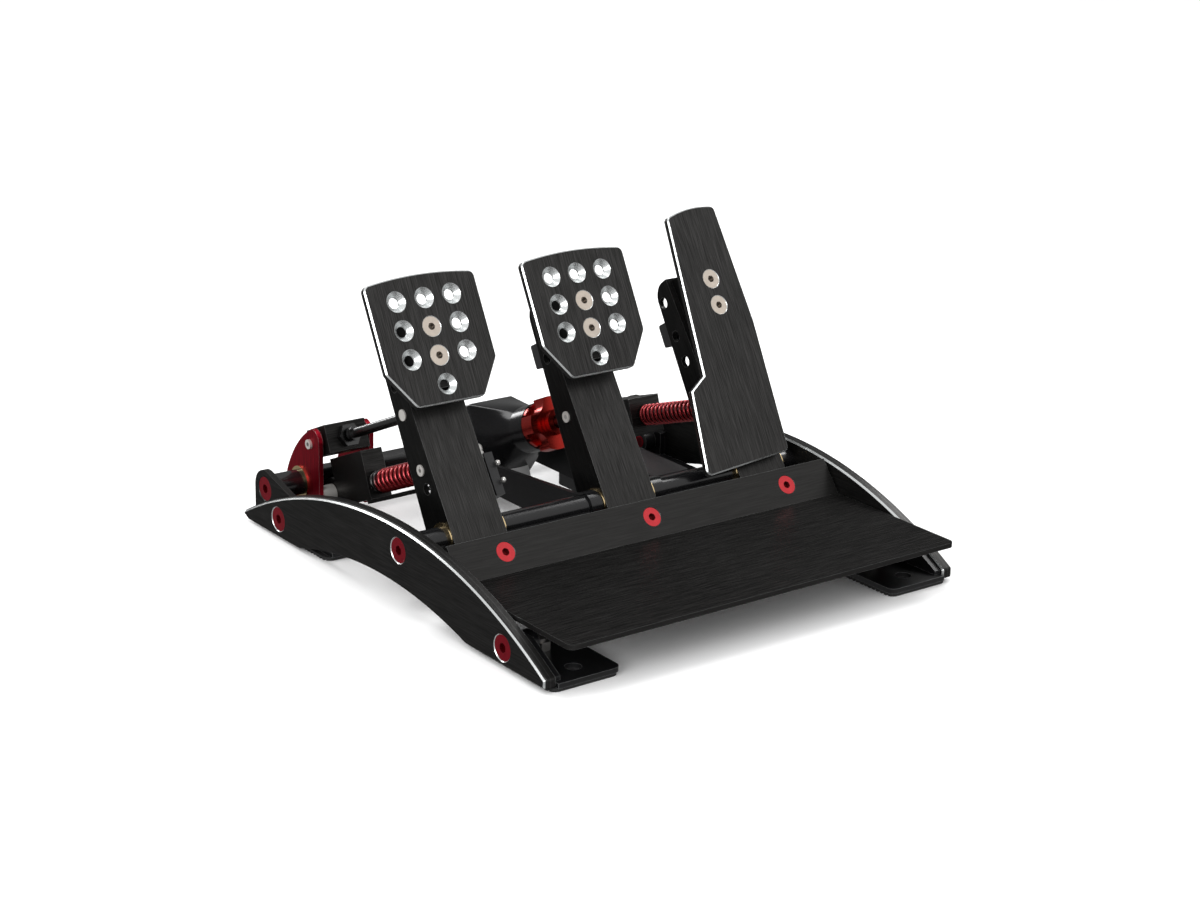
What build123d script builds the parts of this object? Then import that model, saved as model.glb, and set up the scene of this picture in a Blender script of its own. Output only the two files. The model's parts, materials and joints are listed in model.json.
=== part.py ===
from build123d import *
import math
import os

# Sim racing pedal set: three hinged pedals between arched side plates, with a bent heel rest.
# Millimetres. +X right, +Y rearwards, +Z up, origin on the floor under the middle of the set.

os.makedirs("parts", exist_ok=True)


def arc_radius(run, drop):
    """Radius of an arc that leaves its apex level and has dropped this far after a run."""
    return (run**2 + drop**2) / (2 * drop)


# Fits
running_gap = 0.05
open_gap = 0.3
overrun = 1.0

# Countersunk socket screws and their holes
screw_shank = 6.0
screw_head = 11.7
screw_head_rim = 0.15
screw_hole = 6.6
screw_sink = 12.3
sink_angle = 90.0
socket_width = 4.6
socket_depth = 3.0
tap_depth = 24.0

# Larger ones through the side plates
side_shank = 8.0
side_head = 14.8
side_hole = 8.6
side_sink = 15.8
side_socket_width = 5.8

# Side plates: an arched inner sheet and a bevelled outer sheet on each side
half_width = 148.7
half_length = 163.7
side_sheet = 4.0
pad_thickness = 2.2
side_front_y = -154.4
crown_y = -3.8
crown_z = 50.0
nose_top = 8.3
tail_top = 6.2
crown_front_radius = arc_radius(crown_y - side_front_y, crown_z - nose_top)
crown_rear_radius = arc_radius(half_length - crown_y, crown_z - tail_top)
arch_front_y = -85.6
arch_rear_y = 97.0
arch_rise = 13.8
tail_cut = 5.2
tail_nose = 2.4
outer_bevel = 1.5
inner_bevel = 1.0
nose_radius = 1.6
horn_radius = 11.8
horn_foot_y = 114.0
inside = half_width - 2 * side_sheet

# Cross tubes: the pedals hinge on the front one, the linkage on the rear one
tube_radius = 8.0
front_y = -12.5
front_z = 35.7
rear_y = 144.5
rear_z = 25.0

# Screws through the side plates into the feet
front_foot_screw_y = -115.3
rear_foot_screw_y = 121.7
foot_screw_z = 13.0

# Heel rest: one bent sheet on a rail
heel_sheet = 3.0
heel_gap = 1.3
heel_half_width = inside - heel_gap
heel_top_z = 29.2
bend_y = -62.3
flange_angle = 51.0
flange_length = 23.5
heel_corner = 4.0
edge_break = 0.4
kick_screw_inset = 35.4
kick_screw_spacing = heel_half_width - kick_screw_inset
kick_screw_rise = 12.7
rail_low = 5.0
rail_high = 20.0
rail_depth = 10.0

# Feet: folded plates on ribbed rubber pads
foot_sheet = 3.0
foot_width = 42.1
foot_inner_x = inside - foot_width
foot_corner = 5.0
front_foot_y = (-155.9, -92.0)
rear_foot_y = (72.0, 155.0)
front_pad_y = (-154.9, -103.0)
rear_pad_y = (73.0, 150.0)
pad_inset = 4.7
pad_half_width = half_width - pad_inset
pad_set_back = 0.6
pad_pitch = 3.4
pad_groove = 1.5
pad_groove_depth = 1.2
mount_inset = 19.9
mount_x = inside - mount_inset
front_mount_y = -141.7
rear_mount_y = 88.0
mount_hole = 9.5
stud_y = 112.0
stud_height = 6.5
nut_height = 5.0
nut_width = 11.5
bracket_sheet = 4.0
bracket_half = 12.0
bracket_rise = 7.6
upright_set_back = 4.0
upright_tip = 2.3
boss_radius = 7.0
boss_length = 8.0

# Pedal arms: channels with a tapering side, hinged on the front tube
arm_width = 36.0
arm_wall = 3.0
arm_front = 10.5
arm_rear = 16.0
arm_taper = 5.5
arm_length = 128.0
arm_top_radius = 11.0
arm_tilt = 34.0
throttle_tilt = 36.6
clutch_inset = 48.7
throttle_inset = 38.2
clutch_x = clutch_inset - half_width
brake_x = 8.5
throttle_x = half_width - throttle_inset
low_pin = 42.2
brake_pin = 55.9
high_pin = 76.1
pin_radius = 2.6
pin_head_radius = 3.4
pin_head = 0.8
small_hole = 3.6
low_hole = 30.8
middle_hole = 93.5
top_hole = 116.0
eye_radius = 6.0
eye_half = 5.0
bush_flange_radius = 10.1
bush_flange = 1.0
bush_sleeve_radius = 9.5
bush_sleeve = 5.0

# Pedal plates on wedges in front of the arms
plate_sheet = 4.0
plate_stand = 15.0
plate_bevel = 0.8
plate_half_width = 37.5
plate_foot_half = 22.8
plate_top = 147.8
plate_shoulder = 96.0
plate_bottom = 74.4
plate_corner = 4.0
plate_top_bulge = 3.0
hole_pitch = 18.8
hole_rise = 17.1
screw_low = 102.2
wedge_low = 84.0
wedge_high = 127.0
wedge_half = 14.0

# Throttle plate: long, with a notch on its left edge
long_top = 165.0
long_top_left = 161.8
long_top_bulge = 2.6
long_left = -19.0
long_right = 19.5
long_waist_right = 23.0
long_waist = 88.0
long_foot_left = -48.0
long_foot_right = 19.0
long_foot = -1.0
long_foot_rise = 5.0
notch_low = 52.0
notch_high = 60.0
notch_low_x = -40.5
notch_high_x = -28.0
long_corner = 3.5

# Clutch linkage: crank on the rear tube, push rod above, spring below
crank_sheet = 3.0
crank_half_gap = 16.5
crank_blind = 1.0
crank_boss = 1.2
crank_boss_radius = 7.0
rod_pin_y = 132.7
rod_pin_z = 52.7
spring_pin_y = 126.0
spring_pin_z = 20.8
crank_top_z = 63.1
crank_top_y = 130.4
crank_front_y = 122.0
crank_shoulder_z = 54.0
crank_back_y = 160.7
crank_back_z = 28.4
crank_bulge_y = 148.5
crank_bulge_z = 48.3
crank_bottom_z = 9.5
crank_corner = 7.0
crank_low_angle = -30.0
rod_radius = 3.1
rod_collar_radius = 4.3
rod_collar = 4.0
rod_block_back = 10.0
rod_block_front = 12.9
rod_block_half_height = 9.0
rod_block_half_width = 14.2
rod_nut = 4.6
rod_nut_width = 15.0
rod_bore_gap = 0.7
rod_eye_gap = 1.4
pin_button_radius = 3.0
pin_button = 1.6

# Springs and the guides inside them
guide_radius = 4.0
guide_bore_gap = 1.2
seat_radius = 7.2
seat_sheet = 3.0
seat_back = 14.0
clutch_wire = 2.6
clutch_coil = 12.4
clutch_pitch = 4.9
throttle_wire = 2.2
throttle_coil = 12.2
throttle_pitch = 4.1
spring_end_gap = 0.6
quarters = 4
closed_turns = 1
half_step = 0.5

# Clutch spring block, with a tray under the spring
spring_block_front = 44.0
spring_block_back = 5.1
spring_block_top = 20.5
spring_block_bottom = 9.3
spring_block_half = 7.35
tray_length = 45.0
tray_sheet = 2.5
guide_stop = 12.0
clutch_guide_end = 30.0

# Throttle spring block on the rear tube
throttle_block_front = 54.5
throttle_block_half = 12.5
throttle_guide_end = 26.0

# Brake cylinder, knob and piston
housing_half_width = 17.0
housing_half_height = 25.0
housing_back = 12.0
housing_shoulder = 34.0
housing_neck = 69.0
cylinder_front = 83.0
cylinder_radius = 15.0
cylinder_wall = 3.0
cylinder_floor = 46.0
housing_lug = 12.5
housing_round = 2.0
cell_half_width = 7.75
cell_top = 20.2
cell_height = 9.3
cell_back = 22.0
cell_front = 47.4
piston_radius = 4.0
piston_head_back = 71.0
piston_head = 4.0
foam_radius = 10.5
foam_count = 3
knob_back = 83.3
knob_crown = 3.0
knob_body = 11.0
knob_radius = 16.7
knob_crown_radius = 14.6
knob_lobes = 4
knob_scallop_radius = 9.0
knob_scallop_centre = 20.5
knob_turn = 39.0
knob_notches = 12
knob_notch = 2.2
knob_boss_radius = 8.0
knob_boss = 6.0
knob_groove = 1.4
knob_groove_depth = 0.7

# Brake rails, spacers, sensor, motors and electronics box
rail_half_gap = 27.5
rail_sheet = 3.0
rail_bottom_z = 18.5
rail_front_z = 44.2
rail_rear_z = 31.4
box_clearance = 19.5
box_right_x = throttle_x - box_clearance
box_y = (24.0, 92.0)
box_z = (9.0, 29.0)
box_corner = 2.0
sensor_gap = 6.0
sensor_sheet = 6.0
sensor_low = 18.0
sensor_high = 44.0
sensor_front = 3.0
sensor_back = 12.0
sensor_post = 4.0
motor_low = 91.0
motor_high = 106.0
motor_depth = 11.0
motor_half_width = 12.0
motor_corner = 1.5


def save(builder, name):
    builder.part.label = name
    export_step(builder.part, f"parts/{name}.step")


def crown(y, radius):
    """Height of the side plates' top arc at y."""
    return crown_z - radius + math.sqrt(radius**2 - (y - crown_y) ** 2)


def facing(x, y, z, normal):
    """Place on a face at a point, with the outward normal as its Z."""
    return Plane(origin=(x, y, z), z_dir=normal).location


def sunk(sink, head):
    """Depth of a screw's head in a countersink, with the two cones touching."""
    return (sink - head) / 2 - screw_head_rim


def unit(start, end):
    length = math.dist(start, end)
    return (end[0] - start[0]) / length, (end[1] - start[1]) / length


def arm_plane(x, tilt):
    """Side view of a pedal: local X up the arm from its hinge, local Y towards the driver."""
    turn = math.radians(tilt)
    return Plane(
        origin=(x, front_y, front_z),
        x_dir=(0, math.sin(turn), math.cos(turn)),
        z_dir=(1, 0, 0),
    )


def face_plane(x, tilt, stand):
    """Front view of a pedal plate: local X right, local Y up the plate."""
    turn = math.radians(tilt)
    normal = (0, -math.cos(turn), math.sin(turn))
    origin = (x, front_y + stand * normal[1], front_z + stand * normal[2])
    return Plane(origin=origin, x_dir=(1, 0, 0), z_dir=normal)


def link_plane(x, rear, front):
    """Side view of a link: local X forward from its rear pin, local Y up."""
    along = unit(rear, front)
    return Plane(origin=(x, *rear), x_dir=(0, *along), z_dir=(-1, 0, 0))


def link_axis(plane):
    return Axis(plane.origin, plane.x_dir)


def on_arm(tilt, distance):
    """Height and depth of a point on an arm's hole line."""
    turn = math.radians(tilt)
    return front_y + distance * math.sin(turn), front_z + distance * math.cos(turn)


rear_pin = (rear_y, rear_z)
rod_rear = (rod_pin_y, rod_pin_z)
spring_rear = (spring_pin_y, spring_pin_z)
clutch_high = on_arm(arm_tilt, high_pin)
clutch_low = on_arm(arm_tilt, low_pin)
brake_front = on_arm(arm_tilt, brake_pin)
throttle_low = on_arm(throttle_tilt, low_pin)
plate_tilt = arm_tilt - arm_taper
long_plate_tilt = throttle_tilt - arm_taper


# Countersunk screw with its head's top at Z 0 and its shank down
def countersunk_screw(length, shank, head, socket):
    shank_radius = shank / 2
    head_radius = head / 2
    cone = head_radius - shank_radius
    with BuildPart() as screw:
        with BuildSketch(Plane.XZ):
            with BuildLine():
                Polyline(
                    (0, 0),
                    (head_radius, 0),
                    (head_radius, -screw_head_rim),
                    (shank_radius, -screw_head_rim - cone),
                    (shank_radius, -length),
                    (0, -length),
                    close=True,
                )
            make_face()
        revolve(axis=Axis.Z)
        with BuildSketch():
            RegularPolygon(radius=socket / 2, side_count=6)
        extrude(amount=-socket_depth, mode=Mode.SUBTRACT)
    return screw.part


small_screw = (screw_shank, screw_head, socket_width)
side_screw = (side_shank, side_head, side_socket_width)


def screw_group(name, *sets):
    with BuildPart() as screws:
        for kind, length, places in sets:
            with Locations(*places):
                add(countersunk_screw(length, *kind))
    save(screws, name)


# Side plates
def side_outline(with_horn):
    rear_edge_y = rear_y + horn_radius if with_horn else half_length
    arch_y = (arch_front_y + arch_rear_y) / 2
    front_mid_y = (side_front_y + crown_y) / 2
    front_top = (side_front_y, crown(side_front_y, crown_front_radius))
    front_mid = (front_mid_y, crown(front_mid_y, crown_front_radius))
    apex = (crown_y, crown_z)
    floor = pad_thickness
    with BuildSketch() as outline:
        with BuildLine():
            Polyline(front_top, (side_front_y, floor), (arch_front_y, floor))
            ThreePointArc((arch_front_y, floor), (arch_y, floor + arch_rise), (arch_rear_y, floor))
            if with_horn:
                foot = (horn_foot_y, crown(horn_foot_y, crown_rear_radius))
                reach = math.dist(rear_pin, foot)
                bearing = math.atan2(foot[1] - rear_z, foot[0] - rear_y)
                meet = bearing - math.acos(horn_radius / reach)
                over = meet / 2
                shoulder = (rear_y + horn_radius * math.cos(meet), rear_z + horn_radius * math.sin(meet))
                top = (rear_y + horn_radius * math.cos(over), rear_z + horn_radius * math.sin(over))
                Polyline((arch_rear_y, floor), (rear_edge_y, floor), (rear_edge_y, rear_z))
                ThreePointArc((rear_edge_y, rear_z), top, shoulder)
                Line(shoulder, foot)
            else:
                foot = (rear_edge_y, crown(rear_edge_y, crown_rear_radius))
                Polyline(
                    (arch_rear_y, floor),
                    (rear_edge_y - tail_cut, floor),
                    (rear_edge_y, floor + tail_nose),
                    foot,
                )
            mid_y = (foot[0] + crown_y) / 2
            ThreePointArc(foot, (mid_y, crown(mid_y, crown_rear_radius)), apex)
            ThreePointArc(apex, front_mid, front_top)
        make_face()
        fillet(outline.vertices().group_by(Axis.X)[0], radius=nose_radius)
    return outline.sketch


side_screws_yz = (
    (front_foot_screw_y, foot_screw_z),
    (front_y, front_z),
    (rear_foot_screw_y, foot_screw_z),
)

for side, sign in (("left", -1), ("right", 1)):
    outward = (sign, 0, 0)
    with BuildPart() as outer_plate:
        with BuildSketch(Plane.YZ.offset(sign * half_width)):
            add(side_outline(with_horn=False))
        extrude(amount=-sign * side_sheet)
        outer_face = outer_plate.faces().filter_by(Axis.X).sort_by(Axis.X)[-1 if sign > 0 else 0]
        crown_edges = outer_face.edges().filter_by(GeomType.CIRCLE).sort_by(SortBy.LENGTH)[-3:]
        chamfer(crown_edges.sort_by(Axis.Z)[-2:], length=outer_bevel)
        with Locations(*[facing(sign * half_width, y, z, outward) for y, z in side_screws_yz]):
            CounterSinkHole(side_hole / 2, side_sink / 2, counter_sink_angle=sink_angle)
    save(outer_plate, f"outer_plate_{side}")

    with BuildPart() as inner_plate:
        with BuildSketch(Plane.YZ.offset(sign * inside)):
            add(side_outline(with_horn=True))
        extrude(amount=sign * side_sheet)
        inner_face = inner_plate.faces().filter_by(Axis.X).sort_by(Axis.X)[0 if sign > 0 else -1]
        crown_edges = inner_face.edges().filter_by(GeomType.CIRCLE).sort_by(SortBy.LENGTH)[-3:]
        chamfer(crown_edges.sort_by(Axis.Z)[-2:], length=inner_bevel)
        meeting_x = sign * (inside + side_sheet)
        with Locations(*[facing(meeting_x, y, z, outward) for y, z in side_screws_yz]):
            Hole(radius=side_hole / 2)
        turn = math.radians(flange_angle)
        rail_middle = (rail_low + rail_high) / 2
        rail_drop = heel_sheet + rail_depth / 2
        rail_end_y = bend_y + rail_middle * math.cos(turn) + rail_drop * math.sin(turn)
        rail_end_z = heel_top_z + rail_middle * math.sin(turn) - rail_drop * math.cos(turn)
        with Locations(facing(meeting_x, rear_y, rear_z, outward)):
            CounterSinkHole(side_hole / 2, side_sink / 2, counter_sink_angle=sink_angle)
        with Locations(facing(meeting_x, rail_end_y, rail_end_z, outward)):
            CounterSinkHole(screw_hole / 2, screw_sink / 2, counter_sink_angle=sink_angle)
    save(inner_plate, f"inner_plate_{side}")

side_sunk = sunk(side_sink, side_head)
small_sunk = sunk(screw_sink, screw_head)
side_screw_places = []
horn_screw_places = []
rail_screw_places = []
for sign in (-1, 1):
    outward = (sign, 0, 0)
    outer_x = sign * (half_width - side_sunk)
    horn_x = sign * (half_width - side_sheet - side_sunk)
    rail_x = sign * (half_width - side_sheet - small_sunk)
    side_screw_places += [facing(outer_x, y, z, outward) for y, z in side_screws_yz]
    horn_screw_places.append(facing(horn_x, rear_y, rear_z, outward))
    rail_screw_places.append(facing(rail_x, rail_end_y, rail_end_z, outward))
inner_length = side_sheet + boss_length + bracket_sheet
screw_group("side_screws", (side_screw, side_sheet + inner_length, side_screw_places))
screw_group(
    "inner_plate_screws",
    (side_screw, inner_length, horn_screw_places),
    (small_screw, inner_length, rail_screw_places),
)

# Cross tubes with tapped ends
for name, y, z in (("front_pivot_tube", front_y, front_z), ("rear_cross_tube", rear_y, rear_z)):
    with BuildPart() as tube:
        with BuildSketch(Plane.YZ.offset(-inside)):
            with Locations((y, z)):
                Circle(tube_radius)
        extrude(amount=2 * inside)
        with Locations(facing(-inside, y, z, (-1, 0, 0)), facing(inside, y, z, (1, 0, 0))):
            Hole(radius=side_shank / 2 + running_gap, depth=tap_depth)
    save(tube, name)

# Heel rest and the rail behind its flange
flange_plane = Plane(
    origin=(0, bend_y, heel_top_z), x_dir=(0, math.cos(turn), math.sin(turn)), z_dir=(1, 0, 0)
)
flange_normal = (0, -math.sin(turn), math.cos(turn))
kick_y = bend_y + kick_screw_rise * math.cos(turn)
kick_z = heel_top_z + kick_screw_rise * math.sin(turn)
kick_xs = (-kick_screw_spacing, 0, kick_screw_spacing)
with BuildPart() as heel_rest:
    with BuildSketch(Plane.YZ):
        with BuildLine():
            top_y = bend_y + flange_length * math.cos(turn)
            top_z = heel_top_z + flange_length * math.sin(turn)
            Polyline(
                (-half_length, heel_top_z),
                (bend_y, heel_top_z),
                (top_y, top_z),
                (top_y + heel_sheet * math.sin(turn), top_z - heel_sheet * math.cos(turn)),
                (bend_y + heel_sheet * math.tan(turn / 2), heel_top_z - heel_sheet),
                (-half_length, heel_top_z - heel_sheet),
                close=True,
            )
        make_face()
    extrude(amount=heel_half_width, both=True)
    upright_edges = heel_rest.edges().filter_by(Axis.Z)
    fillet(upright_edges, radius=heel_corner)
    with Locations(*[facing(x, kick_y, kick_z, flange_normal) for x in kick_xs]):
        CounterSinkHole(screw_hole / 2, screw_sink / 2, counter_sink_angle=sink_angle)
save(heel_rest, "heel_rest")

with BuildPart() as kick_rail:
    with BuildSketch(flange_plane):
        with Locations((rail_middle, -rail_drop)):
            Rectangle(rail_high - rail_low, rail_depth)
    extrude(amount=inside, both=True)
    with Locations(*[facing(x, kick_y, kick_z, flange_normal) for x in kick_xs]):
        Hole(radius=screw_hole / 2)
    with Locations(
        facing(-inside, rail_end_y, rail_end_z, (-1, 0, 0)),
        facing(inside, rail_end_y, rail_end_z, (1, 0, 0)),
    ):
        Hole(radius=screw_shank / 2 + running_gap, depth=tap_depth)
save(kick_rail, "kick_rail")

kick_head_y = kick_y - small_sunk * flange_normal[1]
kick_head_z = kick_z - small_sunk * flange_normal[2]
kick_places = [facing(x, kick_head_y, kick_head_z, flange_normal) for x in kick_xs]
screw_group("kick_screws", (small_screw, heel_sheet + rail_depth, kick_places))


# Feet: a plate with a mounting hole, an upright against the side plate and a tapped boss
def make_foot(name, sign, span_y, screw_y, mount_y, stud_at_y):
    top = pad_thickness + foot_sheet
    end = math.copysign(1, screw_y)
    tip_y = (span_y[0] if end < 0 else span_y[1]) - end * upright_set_back
    rise = foot_screw_z + bracket_rise
    with BuildPart() as foot:
        with BuildSketch(Plane.XY.offset(pad_thickness)):
            with Locations((sign * (inside + foot_inner_x) / 2, (span_y[0] + span_y[1]) / 2)):
                Rectangle(inside - foot_inner_x, span_y[1] - span_y[0])
        extrude(amount=foot_sheet)
        corner_edges = foot.edges().filter_by(Axis.Z).group_by(Axis.X)[0 if sign > 0 else -1]
        fillet(corner_edges, radius=foot_corner)
        with BuildSketch(Plane.YZ.offset(sign * inside)):
            with BuildLine():
                Polyline(
                    (screw_y - end * bracket_half, top),
                    (screw_y - end * bracket_half, rise),
                    (screw_y + end * bracket_half, rise),
                    (tip_y, top + upright_tip),
                    (tip_y, top),
                    close=True,
                )
            make_face()
        extrude(amount=-sign * bracket_sheet)
        with BuildSketch(Plane.YZ.offset(sign * (inside - bracket_sheet))):
            with Locations((screw_y, foot_screw_z)):
                Circle(boss_radius)
        extrude(amount=-sign * boss_length)
        with Locations(facing(sign * inside, screw_y, foot_screw_z, (sign, 0, 0))):
            Hole(radius=side_shank / 2 + running_gap, depth=bracket_sheet + boss_length)
        with Locations((sign * mount_x, mount_y, top)):
            Hole(radius=mount_hole / 2)
        with Locations((sign * mount_x, stud_at_y, top)):
            Hole(radius=screw_shank / 2 + running_gap)
    save(foot, name)


for side, sign in (("left", -1), ("right", 1)):
    make_foot(f"front_foot_{side}", sign, front_foot_y, front_foot_screw_y, front_mount_y, -stud_y)
    make_foot(f"rear_foot_{side}", sign, rear_foot_y, rear_foot_screw_y, rear_mount_y, stud_y)


# Rubber pads, ribbed across underneath
def make_pads(name, span_y, mount_y, stud_at_y):
    length = span_y[1] - span_y[0]
    middle_y = (span_y[0] + span_y[1]) / 2
    inner_x = foot_inner_x + pad_set_back
    width = pad_half_width - inner_x
    groove_count = int((length - pad_groove) / pad_pitch)
    with BuildPart() as pads:
        for sign in (-1, 1):
            middle_x = sign * (pad_half_width + inner_x) / 2
            with BuildSketch():
                with Locations((middle_x, middle_y)):
                    RectangleRounded(width, length, foot_corner)
                with Locations((sign * mount_x, mount_y)):
                    Circle(mount_hole / 2, mode=Mode.SUBTRACT)
                with Locations((sign * mount_x, stud_at_y)):
                    Circle(screw_shank / 2 + running_gap, mode=Mode.SUBTRACT)
            extrude(amount=pad_thickness)
            with BuildSketch():
                with Locations((middle_x, middle_y)):
                    with GridLocations(0, pad_pitch, 1, groove_count):
                        Rectangle(width + 2 * overrun, pad_groove)
            extrude(amount=pad_groove_depth, mode=Mode.SUBTRACT)
    save(pads, name)


make_pads("front_pads", front_pad_y, front_mount_y, -stud_y)
make_pads("rear_pads", rear_pad_y, rear_mount_y, stud_y)

# Studs and nuts that hold the pads to the feet
with BuildPart() as pad_nuts:
    stud_places = [(sx * mount_x, sy * stud_y) for sx in (-1, 1) for sy in (-1, 1)]
    with BuildSketch(Plane.XY.offset(pad_groove_depth)):
        with Locations(*stud_places):
            Circle(screw_shank / 2)
    extrude(amount=pad_thickness + foot_sheet + stud_height - pad_groove_depth)
    with BuildSketch(Plane.XY.offset(pad_thickness + foot_sheet)):
        with Locations(*stud_places):
            RegularPolygon(radius=nut_width / 2, side_count=6)
    extrude(amount=nut_height)
save(pad_nuts, "pad_nuts")


# Pedal arm: a channel, open at the back, with its sides tapering upwards
def make_arm(name, x, tilt, pins, holes):
    plane = arm_plane(x, tilt)
    slope = math.tan(math.radians(arm_taper))
    rear_top = -arm_rear + arm_length * slope
    lowest = -math.sqrt(arm_rear**2 - arm_front**2)
    plate_turn = tilt - arm_taper
    with BuildPart() as arm:
        with BuildSketch(plane) as profile:
            with BuildLine():
                Polyline((lowest, arm_front), (arm_length, arm_front), (arm_length, rear_top), (0, -arm_rear))
                ThreePointArc((0, -arm_rear), (-arm_rear, 0), (lowest, arm_front))
            make_face()
            top_rear = profile.vertices().group_by(Axis.X)[-1].sort_by(Axis.Y)[0]
            fillet(top_rear, radius=arm_top_radius)
        extrude(amount=arm_width / 2, both=True)
        with BuildSketch(plane):
            with Locations((arm_length / 2, arm_front - arm_wall - arm_rear)):
                Rectangle(2 * arm_length, 2 * arm_rear)
        extrude(amount=arm_width / 2 - arm_wall, both=True, mode=Mode.SUBTRACT)
        with BuildSketch(plane):
            Circle(bush_sleeve_radius)
            with Locations(*[(distance, 0) for distance in pins]):
                Circle(pin_radius + running_gap)
            with Locations(*[(distance, 0) for distance in holes]):
                Circle(small_hole)
        extrude(amount=arm_width, both=True, mode=Mode.SUBTRACT)
        screw_plane = face_plane(x, plate_turn, plate_stand)
        with Locations(*[(screw_plane * Location((0, screw_low + k * hole_rise, 0))) for k in (0, 1)]):
            Hole(radius=screw_shank / 2 + running_gap)
    save(arm, f"{name}_arm")


make_arm("clutch", clutch_x, arm_tilt, (low_pin, high_pin), (low_hole, middle_hole))
make_arm("brake", brake_x, arm_tilt, (brake_pin,), (middle_hole,))
make_arm("throttle", throttle_x, throttle_tilt, (low_pin,), (high_pin, middle_hole, top_hole))


# Flanged brass bushes, one on each side of what turns on a tube
def make_bushes(name, x, half, y, z, sleeve):
    with BuildPart() as bushes:
        for sign in (-1, 1):
            with BuildSketch(Plane.YZ.offset(x + sign * half)) as ring:
                with Locations((y, z)):
                    Circle(bush_flange_radius)
                    Circle(tube_radius + running_gap, mode=Mode.SUBTRACT)
            extrude(amount=sign * bush_flange)
            with BuildSketch(Plane.YZ.offset(x + sign * half)):
                with Locations((y, z)):
                    Circle(bush_sleeve_radius)
                    Circle(tube_radius + running_gap, mode=Mode.SUBTRACT)
            extrude(amount=-sign * sleeve)
    save(bushes, name)


make_bushes("clutch_bushes", clutch_x, arm_width / 2, front_y, front_z, bush_sleeve)
make_bushes("brake_bushes", brake_x, arm_width / 2, front_y, front_z, bush_sleeve)
make_bushes("throttle_bushes", throttle_x, arm_width / 2, front_y, front_z, bush_sleeve)
crank_half = crank_half_gap + crank_sheet
make_bushes("clutch_crank_bushes", clutch_x, crank_half, rear_y, rear_z, crank_sheet)


# Headed pins across an arm
def make_pins(name, x, tilt, pins):
    plane = arm_plane(x, tilt)
    with BuildPart() as group:
        for distance in pins:
            with BuildSketch(plane):
                with Locations((distance, 0)):
                    Circle(pin_radius)
            extrude(amount=arm_width / 2, both=True)
            for sign in (-1, 1):
                with BuildSketch(plane.offset(sign * arm_width / 2)):
                    with Locations((distance, 0)):
                        Circle(pin_head_radius)
                extrude(amount=sign * pin_head)
    save(group, name)


make_pins("clutch_pins", clutch_x, arm_tilt, (low_pin, high_pin))
make_pins("brake_pin", brake_x, arm_tilt, (brake_pin,))
make_pins("throttle_pin", throttle_x, throttle_tilt, (low_pin,))


# Wedge between an arm and its plate
def make_wedge(name, x, tilt):
    turn = math.radians(arm_taper)
    corners = [(wedge_low, plate_stand), (wedge_high, plate_stand)]
    for height in (wedge_high, wedge_low):
        up_arm = (height - arm_front * math.sin(turn)) / math.cos(turn)
        corners.append((height, arm_front * math.cos(turn) - up_arm * math.sin(turn)))
    screw_plane = face_plane(x, tilt - arm_taper, plate_stand)
    with BuildPart() as wedge:
        with BuildSketch(arm_plane(x, tilt - arm_taper)):
            with BuildLine():
                Polyline(*corners, close=True)
            make_face()
        extrude(amount=wedge_half, both=True)
        with Locations(*[(screw_plane * Location((0, screw_low + k * hole_rise, 0))) for k in (0, 1)]):
            Hole(radius=screw_hole / 2)
    save(wedge, f"{name}_wedge")


def plate_screws(name, x, tilt):
    head_plane = face_plane(x, tilt, plate_stand + plate_sheet - small_sunk)
    places = [(head_plane * Location((0, screw_low + k * hole_rise, 0))) for k in (0, 1)]
    screw_group(name, (small_screw, plate_sheet + 2 * plate_stand, places))


# Clutch and brake plates, with rows of countersunk holes
def make_plate(name, x):
    plane = face_plane(x, plate_tilt, plate_stand)
    front = face_plane(x, plate_tilt, plate_stand + plate_sheet)
    rows = [(column * hole_pitch, screw_low + row * hole_rise) for row in range(3) for column in (-1, 0, 1)]
    rows.append((0, screw_low - hole_rise))
    with BuildPart() as plate:
        with BuildSketch(plane) as outline:
            with BuildLine():
                Polyline(
                    (plate_half_width, plate_top),
                    (plate_half_width, plate_shoulder),
                    (plate_foot_half, plate_bottom),
                    (-plate_foot_half, plate_bottom),
                    (-plate_half_width, plate_shoulder),
                    (-plate_half_width, plate_top),
                )
                ThreePointArc(
                    (-plate_half_width, plate_top), (0, plate_top + plate_top_bulge), (plate_half_width, plate_top)
                )
            make_face()
            fillet(outline.vertices(), radius=plate_corner)
        extrude(amount=plate_sheet)
        chamfer(plate.faces().sort_by(Axis(front.origin, front.z_dir))[-1].edges(), length=plate_bevel)
        with Locations(*[(front * Location((dx, s, 0))) for dx, s in rows]):
            CounterSinkHole(screw_hole / 2, screw_sink / 2, counter_sink_angle=sink_angle)
    save(plate, f"{name}_plate")


for name, x in (("clutch", clutch_x), ("brake", brake_x)):
    make_wedge(name, x, arm_tilt)
    make_plate(name, x)
    plate_screws(f"{name}_plate_screws", x, plate_tilt)

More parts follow.
